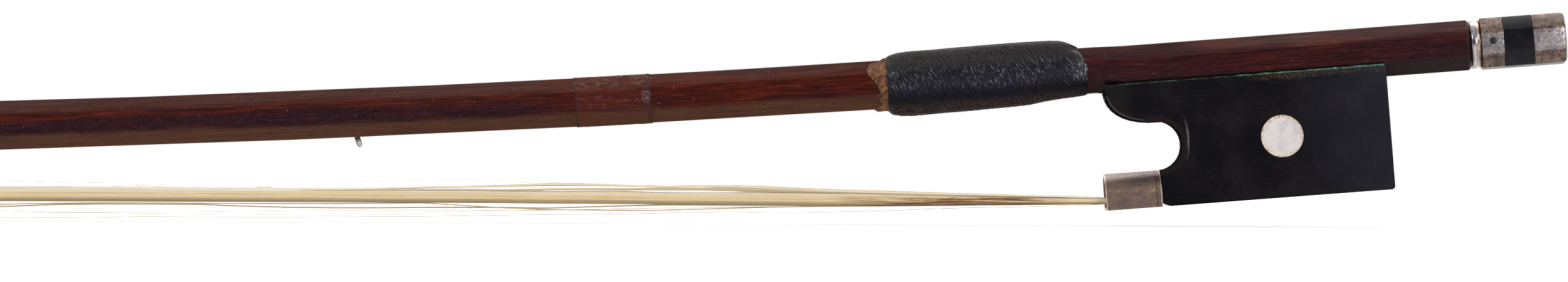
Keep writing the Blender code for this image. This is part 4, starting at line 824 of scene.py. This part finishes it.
def finer_frog(paint):
    """The frog's block, with rounded outer edges and a smooth throat."""
    work = solid_copy("frog")

    def in_throat(vertex):
        x, _, z = bow_place(vertex.co)
        return abs(vertex.co.y) > 4.9 * MM and -56 * MM < x < -49 * MM and -19 * MM < z < -8 * MM

    def places(edge):
        return [bow_place(vertex.co) for vertex in edge.verts]

    def turned(edge):
        return degrees(edge.calc_face_angle(0)) if edge.is_manifold else 0

    throat = [vertex for vertex in work.verts if in_throat(vertex)]
    bmesh.ops.remove_doubles(work, verts=throat, dist=0.2 * MM)
    tongue = [edge for edge in work.edges if turned(edge) > 80 and all(
        x < -55.6 * MM and abs(y) > 4.9 * MM and -9.2 * MM < z < -3.0 * MM for x, y, z in places(edge))]
    bevel_edges(work, tongue, 0.6 * MM, 4)
    rest = [edge for edge in work.edges if turned(edge) > 58 and edge.calc_length() > 3 * MM and all(
        x > -52.8 * MM and abs(y) > 4.8 * MM for x, y, z in places(edge))]
    bevel_edges(work, rest, 0.26 * MM, 3)
    mesh = smooth_mesh("frog_block", work)
    mesh.set_sharp_from_angle(angle=radians(52))
    store_place(mesh, straight=True)
    piece = new_piece("frog_block", mesh, paint, "frog")
    shade_evenly(piece)
    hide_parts("frog")


def grid_mesh(name, rows):
    """Quads over rings of points."""
    count = len(rows[0])
    faces = []
    for r in range(0, (len(rows) - 1) * count, count):
        for k in range(count):
            n = (k + 1) % count
            faces.append((r + k, r + n, r + count + n, r + count + k))
    mesh = bpy.data.meshes.new(name)
    mesh.from_pydata([point for row in rows for point in row], [], faces)
    mesh.shade_smooth()
    return mesh


# Thumb leather: a swollen sleeve with slanting creases

LEATHER_FAR = -0.0989
LEATHER_REACH = [  # where the leather ends towards the frog, in mm, by degrees round from the far side
    (-90, -65.3), (-60, -65.3), (-25, -64.9), (0, -64.6), (25, -64.9), (55, -65.7), (75, -66.5), (90, -66.8),
    (120, -66.2), (150, -65.4), (180, -64.8), (210, -65.0), (240, -65.3), (270, -65.3)]
LEATHER_PROFILE = [  # share from the head's side, thickness over the stick, thickness under it, in mm
    (0.0, 0.35, 0.45), (0.017, 0.62, 0.98), (0.055, 0.95, 1.28), (0.115, 1.15, 1.40), (0.265, 1.25, 1.32),
    (0.44, 1.36, 1.26), (0.59, 1.46, 1.22), (0.71, 1.50, 1.02), (0.80, 1.54, 0.62), (0.87, 1.52, 0.45),
    (0.92, 1.36, 0.38), (0.955, 1.05, 0.34), (0.98, 0.66, 0.30), (0.992, 0.40, 0.26), (1.0, 0.12, 0.12)]
LEATHER_ROUND = 1.035       # radius of its rounded body, in half thicknesses of the stick
CREASE_LEAN = 0.47
CREASE_DEPTH = 0.17         # in mm, and so are its lumps
LUMP_HEIGHT = 0.10


def from_table(table, angle):
    """A table's value at an angle. Its degrees run from -90 to 270."""
    places, values = zip(*table)
    return float(np.interp((degrees(angle) + 90) % 360 - 90, places, values))


def wrinkle(s, t):
    """Depth of the slanting wrinkles at (s along, t round, in mm)."""
    c, d = cos(CREASE_LEAN), sin(CREASE_LEAN)
    wander = 0.60 * ripple(0.33 * s, 0.33 * t, 3.1) + 0.24 * ripple(1.1 * s, 1.1 * t, 7.7)
    u = (s * c - t * d) / 0.74 + wander
    line = floor(u + 0.5)
    strength = unit(0.60 + 1.3 * ripple((s * d + t * c) / 1.7, line * 3.7, 1.0))
    return max(0.0, 1 - abs(u - line) / 0.24) * strength


def crease_height(s, t, turn):
    """Height of the leather's grain at (s along, t round, in mm), from 0 in a crease to 1."""
    near = noise.voronoi(Vector((s / 0.36, t / 0.42, 5.0)))[0]
    pebble = min(1.0, (near[1] - near[0]) / 0.4)
    lift = sin(turn)
    under = unit((-lift - 0.45) / 0.25)
    side = max(0.0, 1 - abs(lift - 0.05) / 0.55)
    depth = wrinkle(s, t) * (1 - 0.8 * side)
    return (1 - under) * (1 - 0.55 * depth) * (0.80 + 0.20 * pebble) + under * (0.5 + 0.5 * pebble)


def build_leather(paint):
    steps = 420
    angles = turns(340)
    shares, above, below = zip(*LEATHER_PROFILE)
    rows, ridges, wraps = [], [], []
    for i in range(steps + 1):
        share = i / steps
        high, low = (float(np.interp(share, shares, thickness)) * MM for thickness in (above, below))
        end_fade = min(1.0, i / 6, (steps - i) / 10)
        thin_end = min(1.0, (1 - share) / 0.06)
        row = []
        for turn in angles:
            c, lift = cos(turn), sin(turn)
            near_end = from_table(LEATHER_REACH, turn) + 0.22 * ripple(9.0, c * 3.0, lift * 3.0)
            far_end = LEATHER_FAR / MM + 0.25 * ripple(5.0, c * 2.2, lift * 2.2)
            s = far_end + (near_end - far_end) * share
            middle, half = stick_line(s * MM)
            thick = (low + (high - low) * (0.5 + 0.5 * lift)) * (1 - 0.25 * abs(c) * share)
            flat = octagon_radius(half, turn)
            radius = flat + (half * LEATHER_ROUND - flat) * 0.6 * thin_end + thick
            # measured down from the near side's middle, with the seam low on the far side
            fall = turn - pi if turn < radians(320) else turn - 3 * pi
            t = radius * fall / MM
            height = crease_height(s, t, turn)
            lump = LUMP_HEIGHT * ripple(s * 0.16, c * 1.3, lift * 1.3)
            radius += (CREASE_DEPTH * (height - 0.8) + lump) * end_fade * MM
            row.append(bow_point(s * MM, radius * c, middle + radius * lift))
            ridges.append(height)
            wraps.append((s, t, 0))
        rows.append(row)

    def closing(row, inward):
        return [around_stick(bow_place(edge)[0] + inward, turn, 0.04 * MM) for turn, edge in zip(angles, row)]

    mesh = grid_mesh("grip_leather", [closing(rows[0], 0.1 * MM), *rows, closing(rows[-1], -0.1 * MM)])
    count = len(angles)
    store_value(mesh, "ridge", "FLOAT", [0.3] * count + ridges + [0.3] * count)
    store_value(mesh, "wrap", "FLOAT_VECTOR", wraps[:count] + wraps + wraps[-count:])
    store_place(mesh)
    piece = new_piece("grip_leather", mesh, paint, "stick")
    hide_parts("thumb_leather")


# Torn suede lining

LINING_INSIDE = 2.0         # how far it reaches under the leather, in mm
LINING_REACH = [  # how far it reaches in front of the leather, in mm, by degrees round from the near side
    (-90, 2.0), (-65, 2.2), (-48, 1.0), (-38, 1.6), (-25, 0.9), (-8, 1.4), (8, 2.2), (24, 3.1), (40, 3.3),
    (55, 2.7), (66, 0.8), (90, 0.2), (120, 0.6), (150, 2.0), (185, 2.6), (215, 1.5), (245, 2.4), (270, 2.0)]


def torn_edge(angle):
    """How far the lining reaches in front of the leather, in mm, with its torn fibres."""
    c, s = -cos(angle), sin(angle)        # the table starts on the near side
    reach = from_table(LINING_REACH, atan2(s, c))
    return max(0.1, reach + 0.35 * ripple(c * 9, s * 9, 1.0) + 0.18 * ripple(c * 30, s * 30, 4.0))


def build_lining(paint):
    steps = 16
    angles = turns(240)
    reaches = [torn_edge(angle) for angle in angles]

    def ring(i, outside):
        row = []
        for angle, reach in zip(angles, reaches):
            x = LEATHER_FAR + (LINING_INSIDE - (LINING_INSIDE + reach) * i / steps) * MM
            thick = 0.34 + 0.12 * ripple(x / MM * 1.3, cos(angle) * 5, sin(angle) * 5)
            thick *= 1 - 0.75 * max(0.0, (i - steps + 3) / 3) ** 2
            row.append(around_stick(x, angle, (0.03 + thick * outside) * MM))
        return row

    rows = [ring(i, 1) for i in range(steps + 1)] + [ring(i, 0) for i in range(steps, -1, -1)]
    piece = new_piece("suede_lining", grid_mesh("suede_lining", rows + rows[:1]), paint, "stick")
    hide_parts("leather_lining")


# Old band, its glue and the fibres stuck beside it

BAND_NEAR = -0.1390
BAND_FAR = -0.1518
GLUE_SPECKS = 80
FIBRE_STATIONS = 40
FIBRE_RADIUS = 0.021 * MM


def build_band(paint):
    steps = 60
    rows = []
    for i in range(-1, steps + 2):
        x = BAND_FAR + (BAND_NEAR - BAND_FAR) * unit(i / steps)
        row = []
        for angle in turns(144):
            c, s = cos(angle), sin(angle)
            thick = 0.07 + 0.07 * ripple(x / MM * 0.8, c * 5, s * 5)
            ragged = 0.0
            if i in (-1, steps + 1):
                thick = -0.02
            if i <= 0:
                ragged = 0.16 * ripple(2.0, c * 7, s * 7)
            if i >= steps:
                ragged = 0.22 * ripple(8.0, c * 7, s * 7)
            row.append(around_stick(x, angle, thick * MM, ragged * MM))
        rows.append(row)
    mesh = grid_mesh("old_band", rows)
    store_place(mesh)
    piece = new_piece("old_band", mesh, paint, "stick")
    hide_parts("stick_band")


def build_glue(paint):
    """Specks of dried glue, most of them at the band's ends and high on the near side."""
    rng = random.Random(11)
    work = bmesh.new()
    for _ in range(GLUE_SPECKS):
        if rng.random() < 0.6:
            x = rng.choice((BAND_NEAR, BAND_FAR)) + rng.gauss(0, 0.5) * MM
        else:
            x = rng.uniform(BAND_FAR - 0.3 * MM, BAND_NEAR + 0.3 * MM)
        angle = rng.uniform(0, 2 * pi) if rng.random() < 0.4 else radians(rng.gauss(112, 20))
        radius = rng.uniform(0.03, 0.075) * MM * (1.8 if rng.random() < 0.12 else 1.0)
        shift = Vector((rng.uniform(0, 50), 0, 0))
        stretch = [radius * rng.uniform(*limits) for limits in ((0.8, 2.2), (0.8, 1.8), (0.3, 0.6))]
        outward = Vector((0, cos(angle), 0)) + LIFT * sin(angle)
        axes = (SCREW, SCREW.cross(outward), outward)
        centre = around_stick(x, angle, 0.09 * MM)
        for vertex in bmesh.ops.create_icosphere(work, subdivisions=2, radius=1.0)["verts"]:
            lump = vertex.co * (1 + 0.45 * noise.noise(vertex.co * 1.6 + shift))
            vertex.co = sum((axis * part * size for axis, part, size in zip(axes, lump, stretch)), centre)
    new_piece("glue_specks", smooth_mesh("glue_specks", work), paint, "stick")


FIBRES = [  # curled fibres stuck to the stick: place along in mm, degrees round, length in mm, curl
    (-151.2, 116, 3.0, 2.4), (-150.2, 130, 3.6, 7.1), (-148.9, 122, 4.4, 8.0), (-147.2, 112, 2.4, 2.0),
    (-145.9, 134, 2.8, 3.6), (-143.6, 119, 3.6, 7.4), (-142.2, 128, 5.0, 8.2), (-141.0, 114, 3.2, 3.3),
    (-140.4, 126, 3.0, 6.6), (-151.5, 172, 2.0, 1.2), (-139.9, 160, 2.2, 2.4), (-121.2, 121, 2.4, 3.4)]


def strands_mesh(name, paths, radii, tones, sides=4):
    """Thin tubes along the paths, given as (strands, stations, 3), with a stored tone."""
    count, stations, _ = paths.shape
    points = np.repeat(paths[:, :, None, :], sides, axis=2)
    for axis, wave in ((1, np.cos), (2, np.sin)):
        points[..., axis] += wave(turns(sides))[None, None, :] * radii[:, None, None]
    index = np.arange(count * stations * sides).reshape(count, stations, sides)
    after = np.roll(index, -1, axis=2)
    quads = np.stack([index[:, :-1], after[:, :-1], after[:, 1:], index[:, 1:]], axis=-1).reshape(-1, 4)
    mesh = bpy.data.meshes.new(name)
    mesh.from_pydata(points.reshape(-1, 3).tolist(), [], quads.tolist())
    mesh.shade_smooth()
    store_value(mesh, "tone", "FLOAT", tones.reshape(count, stations, 1).repeat(sides, axis=2))
    return mesh


def build_fibres(paint):
    paths = np.zeros((len(FIBRES), FIBRE_STATIONS, 3))
    for n, (s, lift, length, curl) in enumerate(FIBRES):
        heading, t = 0.7 * n, 0.0
        step = length / FIBRE_STATIONS
        for i in range(FIBRE_STATIONS):
            height = (0.12 + 0.05 * sin(0.3 * i + n)) * MM
            paths[n, i] = around_stick(s * MM, radians(lift) + t / 4.3, height)
            s += step * cos(heading)
            t += step * sin(heading)
            heading += curl / FIBRE_STATIONS * (1.0 + 0.9 * sin(i / 6 + n))
    radii, tones = np.full(len(FIBRES), FIBRE_RADIUS), np.full(paths.shape[:2], 0.5)
    new_piece("stuck_fibres", strands_mesh("stuck_fibres", paths, radii, tones, sides=5), paint, "stick")


# Hair

HAIR_COUNT = 900
HAIR_STATIONS = 76
STRAY_STATIONS = 130
HAIR_RADIUS = 0.055 * MM
HAIR_WIDTH_FERRULE = 10.6 * MM
HAIR_WIDTH_HEAD = 8.2 * MM
HAIR_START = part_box("ferrule")[0].x + 1.2 * MM
HAIR_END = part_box("head_plate")[1].x - 1.2 * MM
HAIR_EDGES = [  # pixel across, top of the close-lying hair and its lower edge, in the photograph
    (0, 297, 321), (225, 297.5, 321.6), (440, 299, 322.4), (600, 300.8, 323), (700, 301, 323.4),
    (785, 302, 324), (880, 304.5, 325), (985, 304, 325.4), (1070, 307, 326.2), (1160, 306.6, 327.2),
    (1240, 306, 328.2), (1320, 305.8, 329.2), (1400, 307, 329.4), (1500, 309.4, 328), (1600, 312.2, 327.2),
    (1700, 314.8, 326.4), (1761, 316, 325)]
LOCKS = [  # loose bundles: hairs, tone, and pixel across, height and spread in the photograph
    (46, 0.82, [(-1200, 308, 1.0), (560, 301.5, 0.8), (640, 300.0, 0.8), (700, 298.2, 0.8),
        (760, 297.8, 0.9), (800, 296.6, 1.1), (880, 294.6, 1.7), (940, 295.2, 1.3), (1000, 296.2, 1.0),
        (1050, 298.0, 0.8), (1120, 297.0, 0.8), (1180, 298.2, 1.6), (1240, 300.6, 2.0), (1320, 304.0, 1.9),
        (1420, 306.6, 1.8), (1500, 309.0, 1.6), (1600, 312.0, 1.4), (1761, 316.4, 0.8)]),
    (46, 0.74, [(-1200, 310, 1.0), (700, 303.0, 1.2), (840, 303.0, 0.8), (900, 301.0, 0.9),
        (960, 301.9, 0.9), (1040, 301.6, 1.3), (1100, 301.7, 1.2), (1160, 302.2, 1.9), (1240, 304.4, 2.0),
        (1320, 306.4, 1.8), (1500, 311.0, 1.4), (1761, 317.0, 0.8)]),
    (6, 0.50, [(-1200, 321, 1.0), (0, 326.2, 0.6), (60, 325, 0.6), (150, 324, 0.6), (300, 324.4, 0.5),
        (440, 325, 0.5), (600, 324.6, 0.5), (660, 323.6, 0.5), (700, 325.6, 0.4), (760, 329, 0.4),
        (830, 333.2, 0.3), (880, 334.6, 0.3), (1020, 336.2, 0.5), (1080, 335, 0.5), (1180, 332.2, 0.5),
        (1260, 330.2, 0.4), (1400, 329, 0.5), (1761, 325, 0.5)]),
    (3, 0.62, [(-1200, 322, 1.0), (0, 329.8, 0.5), (60, 327.4, 0.5), (150, 325.6, 0.5), (300, 326, 0.5),
        (350, 327.6, 0.4), (440, 330.8, 0.4), (560, 332, 0.4), (660, 331.4, 0.4), (750, 331, 0.4),
        (880, 332.4, 0.4), (930, 330.6, 0.4), (1000, 328.6, 0.4), (1060, 327.2, 0.4), (1300, 328, 0.5),
        (1761, 325, 0.5)])]
STRAYS = [  # a stray hair's heights in the photograph, at these places across
    [(-1200, 306), (0, 288), (110, 291), (175, 292), (225, 296), (300, 299), (900, 306), (1300, 309),
     (1761, 319)],
    [(-1200, 307), (0, 292.5), (60, 294), (90, 296.5), (200, 299), (800, 304), (1300, 309), (1761, 318)],
    [(-1200, 308), (0, 299), (200, 297), (235, 295), (300, 294), (340, 295), (400, 297.5), (500, 301),
     (1761, 317)],
    [(-1200, 308), (0, 300), (400, 299), (440, 297.8), (520, 294), (580, 290.4), (660, 287.6), (720, 286.6),
     (780, 287), (830, 289.2), (880, 291.4), (960, 293.4), (1040, 295.6), (1120, 295.4), (1180, 295.2),
     (1240, 297.8), (1320, 301.2), (1500, 306.8), (1761, 315)],
    [(-1200, 320), (0, 335.6), (60, 337.4), (100, 339), (220, 338.4), (300, 338), (440, 336.6),
     (560, 335.4), (700, 335.6), (880, 335.6), (940, 334.8), (1000, 333.2), (1100, 331), (1180, 330.2),
     (1300, 329.4), (1761, 325)],
    [(-1200, 321), (0, 340.2), (60, 339.8), (140, 339.6), (220, 340.5), (300, 341.4), (440, 342.8),
     (540, 343.6), (620, 341.8), (700, 339.2), (760, 336.8), (880, 335), (1000, 334), (1180, 331),
     (1761, 325)],
    [(-1200, 322), (0, 348), (100, 347.6), (180, 346.6), (230, 345.6), (300, 346.2), (440, 346.4),
     (560, 346), (700, 345.2), (800, 343.4), (880, 342.6), (960, 342), (1040, 340.6), (1120, 338.6),
     (1180, 338.2), (1240, 339.4), (1320, 338.4), (1420, 336), (1520, 332.4), (1600, 330.8), (1690, 328.8),
     (1761, 326)]]
UPPER_STRAYS = 4            # so many of them hang over the ribbon, and are darker


def ribbon_edges():
    """Place along the bow, lower edge and top of the close-lying hair, from the head to the ferrule."""
    places = [(HAIR_END, 0.45 * MM, 1.30 * MM), (HAIR_END + 0.03, 0.45 * MM, 1.75 * MM),
              (HAIR_END + 0.12, 0.5 * MM, 2.6 * MM)]
    for pixel, close, low in HAIR_EDGES:
        places.append((photo_point(pixel, low).x, photo_point(pixel, low).z, photo_point(pixel, close).z))
    places.append((HAIR_START, 0.78 * MM, 1.80 * MM))
    return np.array(places)


def hair_stations(count):
    """Shares of the way from the ferrule to the head, closer together near the ferrule, and their places."""
    share = np.linspace(0, 1, count)
    return share, HAIR_START + (HAIR_END - HAIR_START) * share ** 1.5


def core_surface(turn, low, top, wide):
    """Across and height of the ribbon's surface, a flat body with rounded sides."""
    c, s = np.cos(turn), np.sin(turn)
    across = np.copysign(np.abs(c) ** 0.7, c) * wide * 0.47
    height = (low + top) / 2 + np.copysign(np.abs(s) ** 0.7, s) * ((top - low) / 2 - HAIR_RADIUS)
    return across, height


def lit_hair_tone(turn):
    """Painted light: lighter towards the ribbon's upper side, as lit from above."""
    return 0.58 + np.where(np.sin(turn) > 0, 0.36, 0.06) * np.sin(turn)


def build_hair_core(paint, xs, low, top, width):
    """The close-lying hair as one flat body, whose paint carries the fine strands."""
    around = np.array(turns(36))
    rows = []
    for x, *station in zip(xs, low, top, width):
        rows.append([(x, y, z) for y, z in zip(*core_surface(around, *station))])
    mesh = grid_mesh("hair_core", rows)
    # the tone carries painted light, lighter on the ribbon's upper side
    store_value(mesh, "tone", "FLOAT", np.tile(lit_hair_tone(around), len(rows)))
    return new_piece("hair_core", mesh, paint)


def smooth_through(xs, known):
    """A smooth line through known (x, height) points, that overshoots none of them."""
    px, pz = np.array(known).T
    fall = np.diff(pz) / np.diff(px)
    slope = np.zeros(len(px))
    both = fall[1:] * fall[:-1]
    slope[1:-1] = np.where(both > 0, 2 * both / (fall[1:] + fall[:-1] + 1e-12 * np.sign(fall[1:])), 0.0)
    n = np.clip(np.searchsorted(px, xs) - 1, 0, len(px) - 2)
    span = px[n + 1] - px[n]
    t = (xs - px[n]) / span
    return ((1 + 2 * t) * (1 - t) ** 2 * pz[n] + t * (1 - t) ** 2 * span * slope[n]
            + t * t * (3 - 2 * t) * pz[n + 1] + t * t * (t - 1) * span * slope[n + 1])


def photo_line(xs, places):
    """Heights along xs of a line whose places in the photograph are given, from the ferrule to the head."""
    known = [photo_point(pixel, height) for pixel, height, *_ in places]
    known = [(point.x, point.z) for point in known] + [(HAIR_START, 1.2 * MM), (HAIR_END, 0.9 * MM)]
    return smooth_through(xs, sorted(known))


def build_hair(paint, core_paint):
    rng = np.random.default_rng(5)
    share, xs = hair_stations(HAIR_STATIONS)
    places, low_line, top_line = ribbon_edges().T
    low, top = np.interp(xs, places, low_line), np.interp(xs, places, top_line)
    width = HAIR_WIDTH_FERRULE + (HAIR_WIDTH_HEAD - HAIR_WIDTH_FERRULE) * share ** 1.5
    core = build_hair_core(core_paint, xs, low, top, width)

    def waves(count, first):
        """A random slow wander along a hair."""
        return sum(rng.normal(0, 1) / (k + first) * np.sin(pi * (k + 1) * share) for k in range(count))

    paths, tones = [], []
    for _ in range(HAIR_COUNT):
        wander = waves(6, 1)
        turn = rng.uniform(0, 2 * pi) + 0.16 * wander
        across, height = core_surface(turn, low, top, width)
        lift = HAIR_RADIUS * rng.uniform(-0.4, 0.6)
        paths.append(np.stack([xs, across + lift * np.cos(turn), height + lift * np.sin(turn)], axis=-1))
        # the tone carries painted light, lighter on the ribbon's upper side
        tones.append(np.clip(lit_hair_tone(turn) + 0.15 * rng.normal(), 0.20, 1.0))
    for count, tone, places in LOCKS:
        line = photo_line(xs, places)
        known = np.array(sorted((photo_point(pixel, height).x, spread) for pixel, height, spread in places))
        spread = np.interp(xs, known[:, 0], known[:, 1]) / PIXELS_PER_METRE
        for _ in range(count):
            wander = waves(8, 2)
            offset = np.clip(rng.normal(0, 0.7) + 0.3 * wander, -1.3, 1.3)
            paths.append(np.stack([xs, rng.uniform(-0.42, 0.42) * width, line + offset * spread], axis=-1))
            tones.append(np.full(len(xs), np.clip(tone + 0.12 * rng.normal(), 0.3, 1.0)))
    radii = HAIR_RADIUS * rng.uniform(0.75, 1.10, len(paths))
    mesh = strands_mesh("hair_ribbon", np.array(paths), radii, np.array(tones))
    ribbon = new_piece("hair_ribbon", mesh, paint)
    for piece in (core, ribbon):
        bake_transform(piece)
        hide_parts("bow_hair")


def build_strays(paint):
    rng = np.random.default_rng(9)
    xs = hair_stations(STRAY_STATIONS)[1]
    paths = np.zeros((len(STRAYS), len(xs), 3))
    for path, places in zip(paths, STRAYS):
        path[:, 0] = xs
        path[:, 1] = rng.uniform(-3.5, 3.5) * MM
        path[:, 2] = photo_line(xs, places)
    radii = rng.uniform(0.030, 0.042, len(STRAYS)) * MM
    tones = np.full(paths.shape[:2], 0.58)
    tones[:UPPER_STRAYS] = 0.34
    piece = new_piece("hair_strays", strands_mesh("hair_strays", paths, radii, tones, sides=6), paint)
    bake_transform(piece)


# Green crust along the frog's upper edges

CRUST_FAR, CRUST_NEAR = -0.0602, -0.0148
CRUST_ASIDE, CRUST_UP = 4.38 * MM, -2.28 * MM


def build_crust(paint):
    steps = 260
    for name, side in (("verdigris_near", -1), ("verdigris_far", 1)):
        rows = []
        for i in range(steps + 1):
            share = i / steps
            x = CRUST_FAR + (CRUST_NEAR - CRUST_FAR) * share
            s = x / MM
            body = 0.070 + 0.10 * unit((share - 0.42) / 0.12) + 0.06 * max(0.0, share - 0.7) / 0.3
            body *= 1 + 0.7 * ripple(s * 0.5, side * 3.0, 0) + 0.3 * ripple(s * 2.6, side * 5.0, 2)
            thick = max(0.04, body) * MM
            row = []
            for k, turn in enumerate(turns(8)):
                radius = thick * (1 + 0.35 * ripple(s * 2.3, k * 1.7, side * 9.0))
                row.append(bow_point(x, side * CRUST_ASIDE + radius * 0.8 * cos(turn),
                                     CRUST_UP + radius * sin(turn)))
            rows.append(row)
        piece = new_piece(name, grid_mesh(name, rows), paint, "frog")


# Stage and light

AMBIENT = 0.36
FRONT_AMBIENT = 0.06
FLOOR_HEIGHT = -2.6 * MM
FLOOR_REACH = 5


def build_stage():
    stage = Paint("stage_white")
    tree = stage.tree
    tree.nodes.remove(tree.nodes["Principled BSDF"])
    seen = stage.value("ShaderNodeLightPath", "Is Camera Ray", {})
    place = stage.place()
    # in front of the bow, mirrored rays see only the floor's own white
    mirrored = seen.beside("Is Glossy Ray") * place.parts()[1].band(-0.05, 0.20)
    share = seen.most(mirrored).most(seen.beside("Is Transmission Ray"))
    level = stage.vector("LENGTH", place).band(0.55, 1.3) * 0.54 + 0.46
    glow = stage.value("ShaderNodeEmission", 0, {"Strength": share * level})
    white = stage.value("ShaderNodeBsdfDiffuse", 0, {})
    stage.plug(tree.nodes["Material Output"].inputs["Surface"],
               stage.value("ShaderNodeAddShader", 0, {0: white, 1: glow}))
    far = FLOOR_REACH
    corners = [(x, y, FLOOR_HEIGHT) for x, y in ((-far, -far), (far, -far), (far, far), (-far, far))]
    mesh = bpy.data.meshes.new("stage_floor")
    mesh.from_pydata(corners, [], [(0, 1, 2, 3)])
    made = new_piece("stage_floor", mesh, stage.made)


def area_light(name, place, size, power):
    """A lamp turned to the middle of what the camera sees."""
    data = bpy.data.lights.new(name, "AREA")
    data.shape = "RECTANGLE"
    data.size, data.size_y = size
    data.energy = power
    made = new_object(name, data)
    made.location = place
    made.rotation_euler = (Vector((0.2, 0, 0.01)) - Vector(place)).to_track_quat("-Z", "Y").to_euler()


def light_scene():
    world = bpy.data.worlds.new("studio")
    bpy.context.scene.world = world
    world.use_nodes = True
    sky = Nodes(world.node_tree)
    background = sky.tree.nodes["Background"]
    # white where it is seen, and behind the bow where it is mirrored
    back = sky.value("ShaderNodeTexCoord", "Generated", {}).parts()[1]
    seen = sky.value("ShaderNodeLightPath", "Is Camera Ray", {})
    mirrored = seen.beside("Is Glossy Ray") * back.band(-0.1, 0.3)
    share = seen.most(seen.beside("Is Transmission Ray")).most(mirrored)
    soft = AMBIENT - back.band(-0.55, -0.97) * (AMBIENT - FRONT_AMBIENT)
    sky.plug(background.inputs["Color"], (255, 255, 255))
    sky.plug(background.inputs["Strength"], share + (1.0 - share) * soft)
    area_light("overhead", (0.15, 0.80, 1.0), (1.6, 0.5), 9.0)
    area_light("key", (-0.55, -1.05, 0.95), (0.6, 0.35), 11.0)
    area_light("fill", (1.3, -0.95, 0.45), (0.6, 0.5), 7.5)


make_camera()

ebony = ebony_paint()
eye_low, eye_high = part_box("eye_near")
inlay = pearl_paint("pearl_inlay", (tuple((eye_low + eye_high) / 2), (eye_high.x - eye_low.x) / 2))
pitted = button_paint()
verdigris = verdigris_paint()
brass = metal_paint("brass", (150, 112, 60), (214, 184, 118), 0.22)
steel = metal_paint("steel", (96, 92, 92), (176, 174, 172), 0.24)
blued = metal_paint("blued_steel", (52, 54, 64), (86, 88, 100), 0.34)

planed = finer_copy("stick", wood_paint(), "stick", 0.75 * MM, "stick_planed", place=True,
                    angle=24, segments=4, pick=along_stick, cuts=np.arange(-0.700, -0.002, 0.006))
shade_evenly(planed)
finer_frog(ebony_paint("ebony_frog", worn=True))
finer_copy("ferrule", silver_paint(), "frog", 0.12 * MM, "ferrule_shell", place=True,
           angle=40)
for node in ("button_front_ring", "button_end_cap"):
    finer_copy(node, pitted, "button", 0.10 * MM, place=True)
finer_copy("button_core", ebony, "button", 0.12 * MM)
finer_copy("button_collar", bright_paint(), "button", 0.05 * MM, place=True)
for node in ("eye_near", "eye_far"):
    finer_copy(node, inlay, "frog", 0.08 * MM)
finer_copy("slide_pearl", pearl_paint(), "frog", 0.05 * MM)
finer_copy("head_plate", bone_paint(), "stick", 0.15 * MM)
finer_copy("winding_pin", pin_paint(), "stick", 0.10 * MM, place=True)

for paint, nodes in ((ebony, ("head_liner", "slide")),
                     (pale_wood_paint(), ("head_plug", "ferrule_wedge", "frog_plug")),
                     (thread_paint(), ("head_hair_knot", "frog_hair_knot")),
                     (verdigris, ("underslide",)),
                     (brass, ("underslide_pin_back", "underslide_pin_front", "eyelet")),
                     (steel, ("screw",)),
                     (blued, ("button_ring_pin",))):
    for node in nodes:
        materials = frame["nodes"][node].data.materials
        materials.clear()
        materials.append(paint)

build_leather(leather_paint())
build_lining(suede_paint())
build_band(gum_paint())
build_glue(glue_paint())
build_hair(hair_paint(), hair_paint("hair_body", strands=True))
build_strays(hair_paint("hair_loose", clear=0.2))
build_fibres(lint_paint())
build_crust(verdigris)
build_stage()
light_scene()
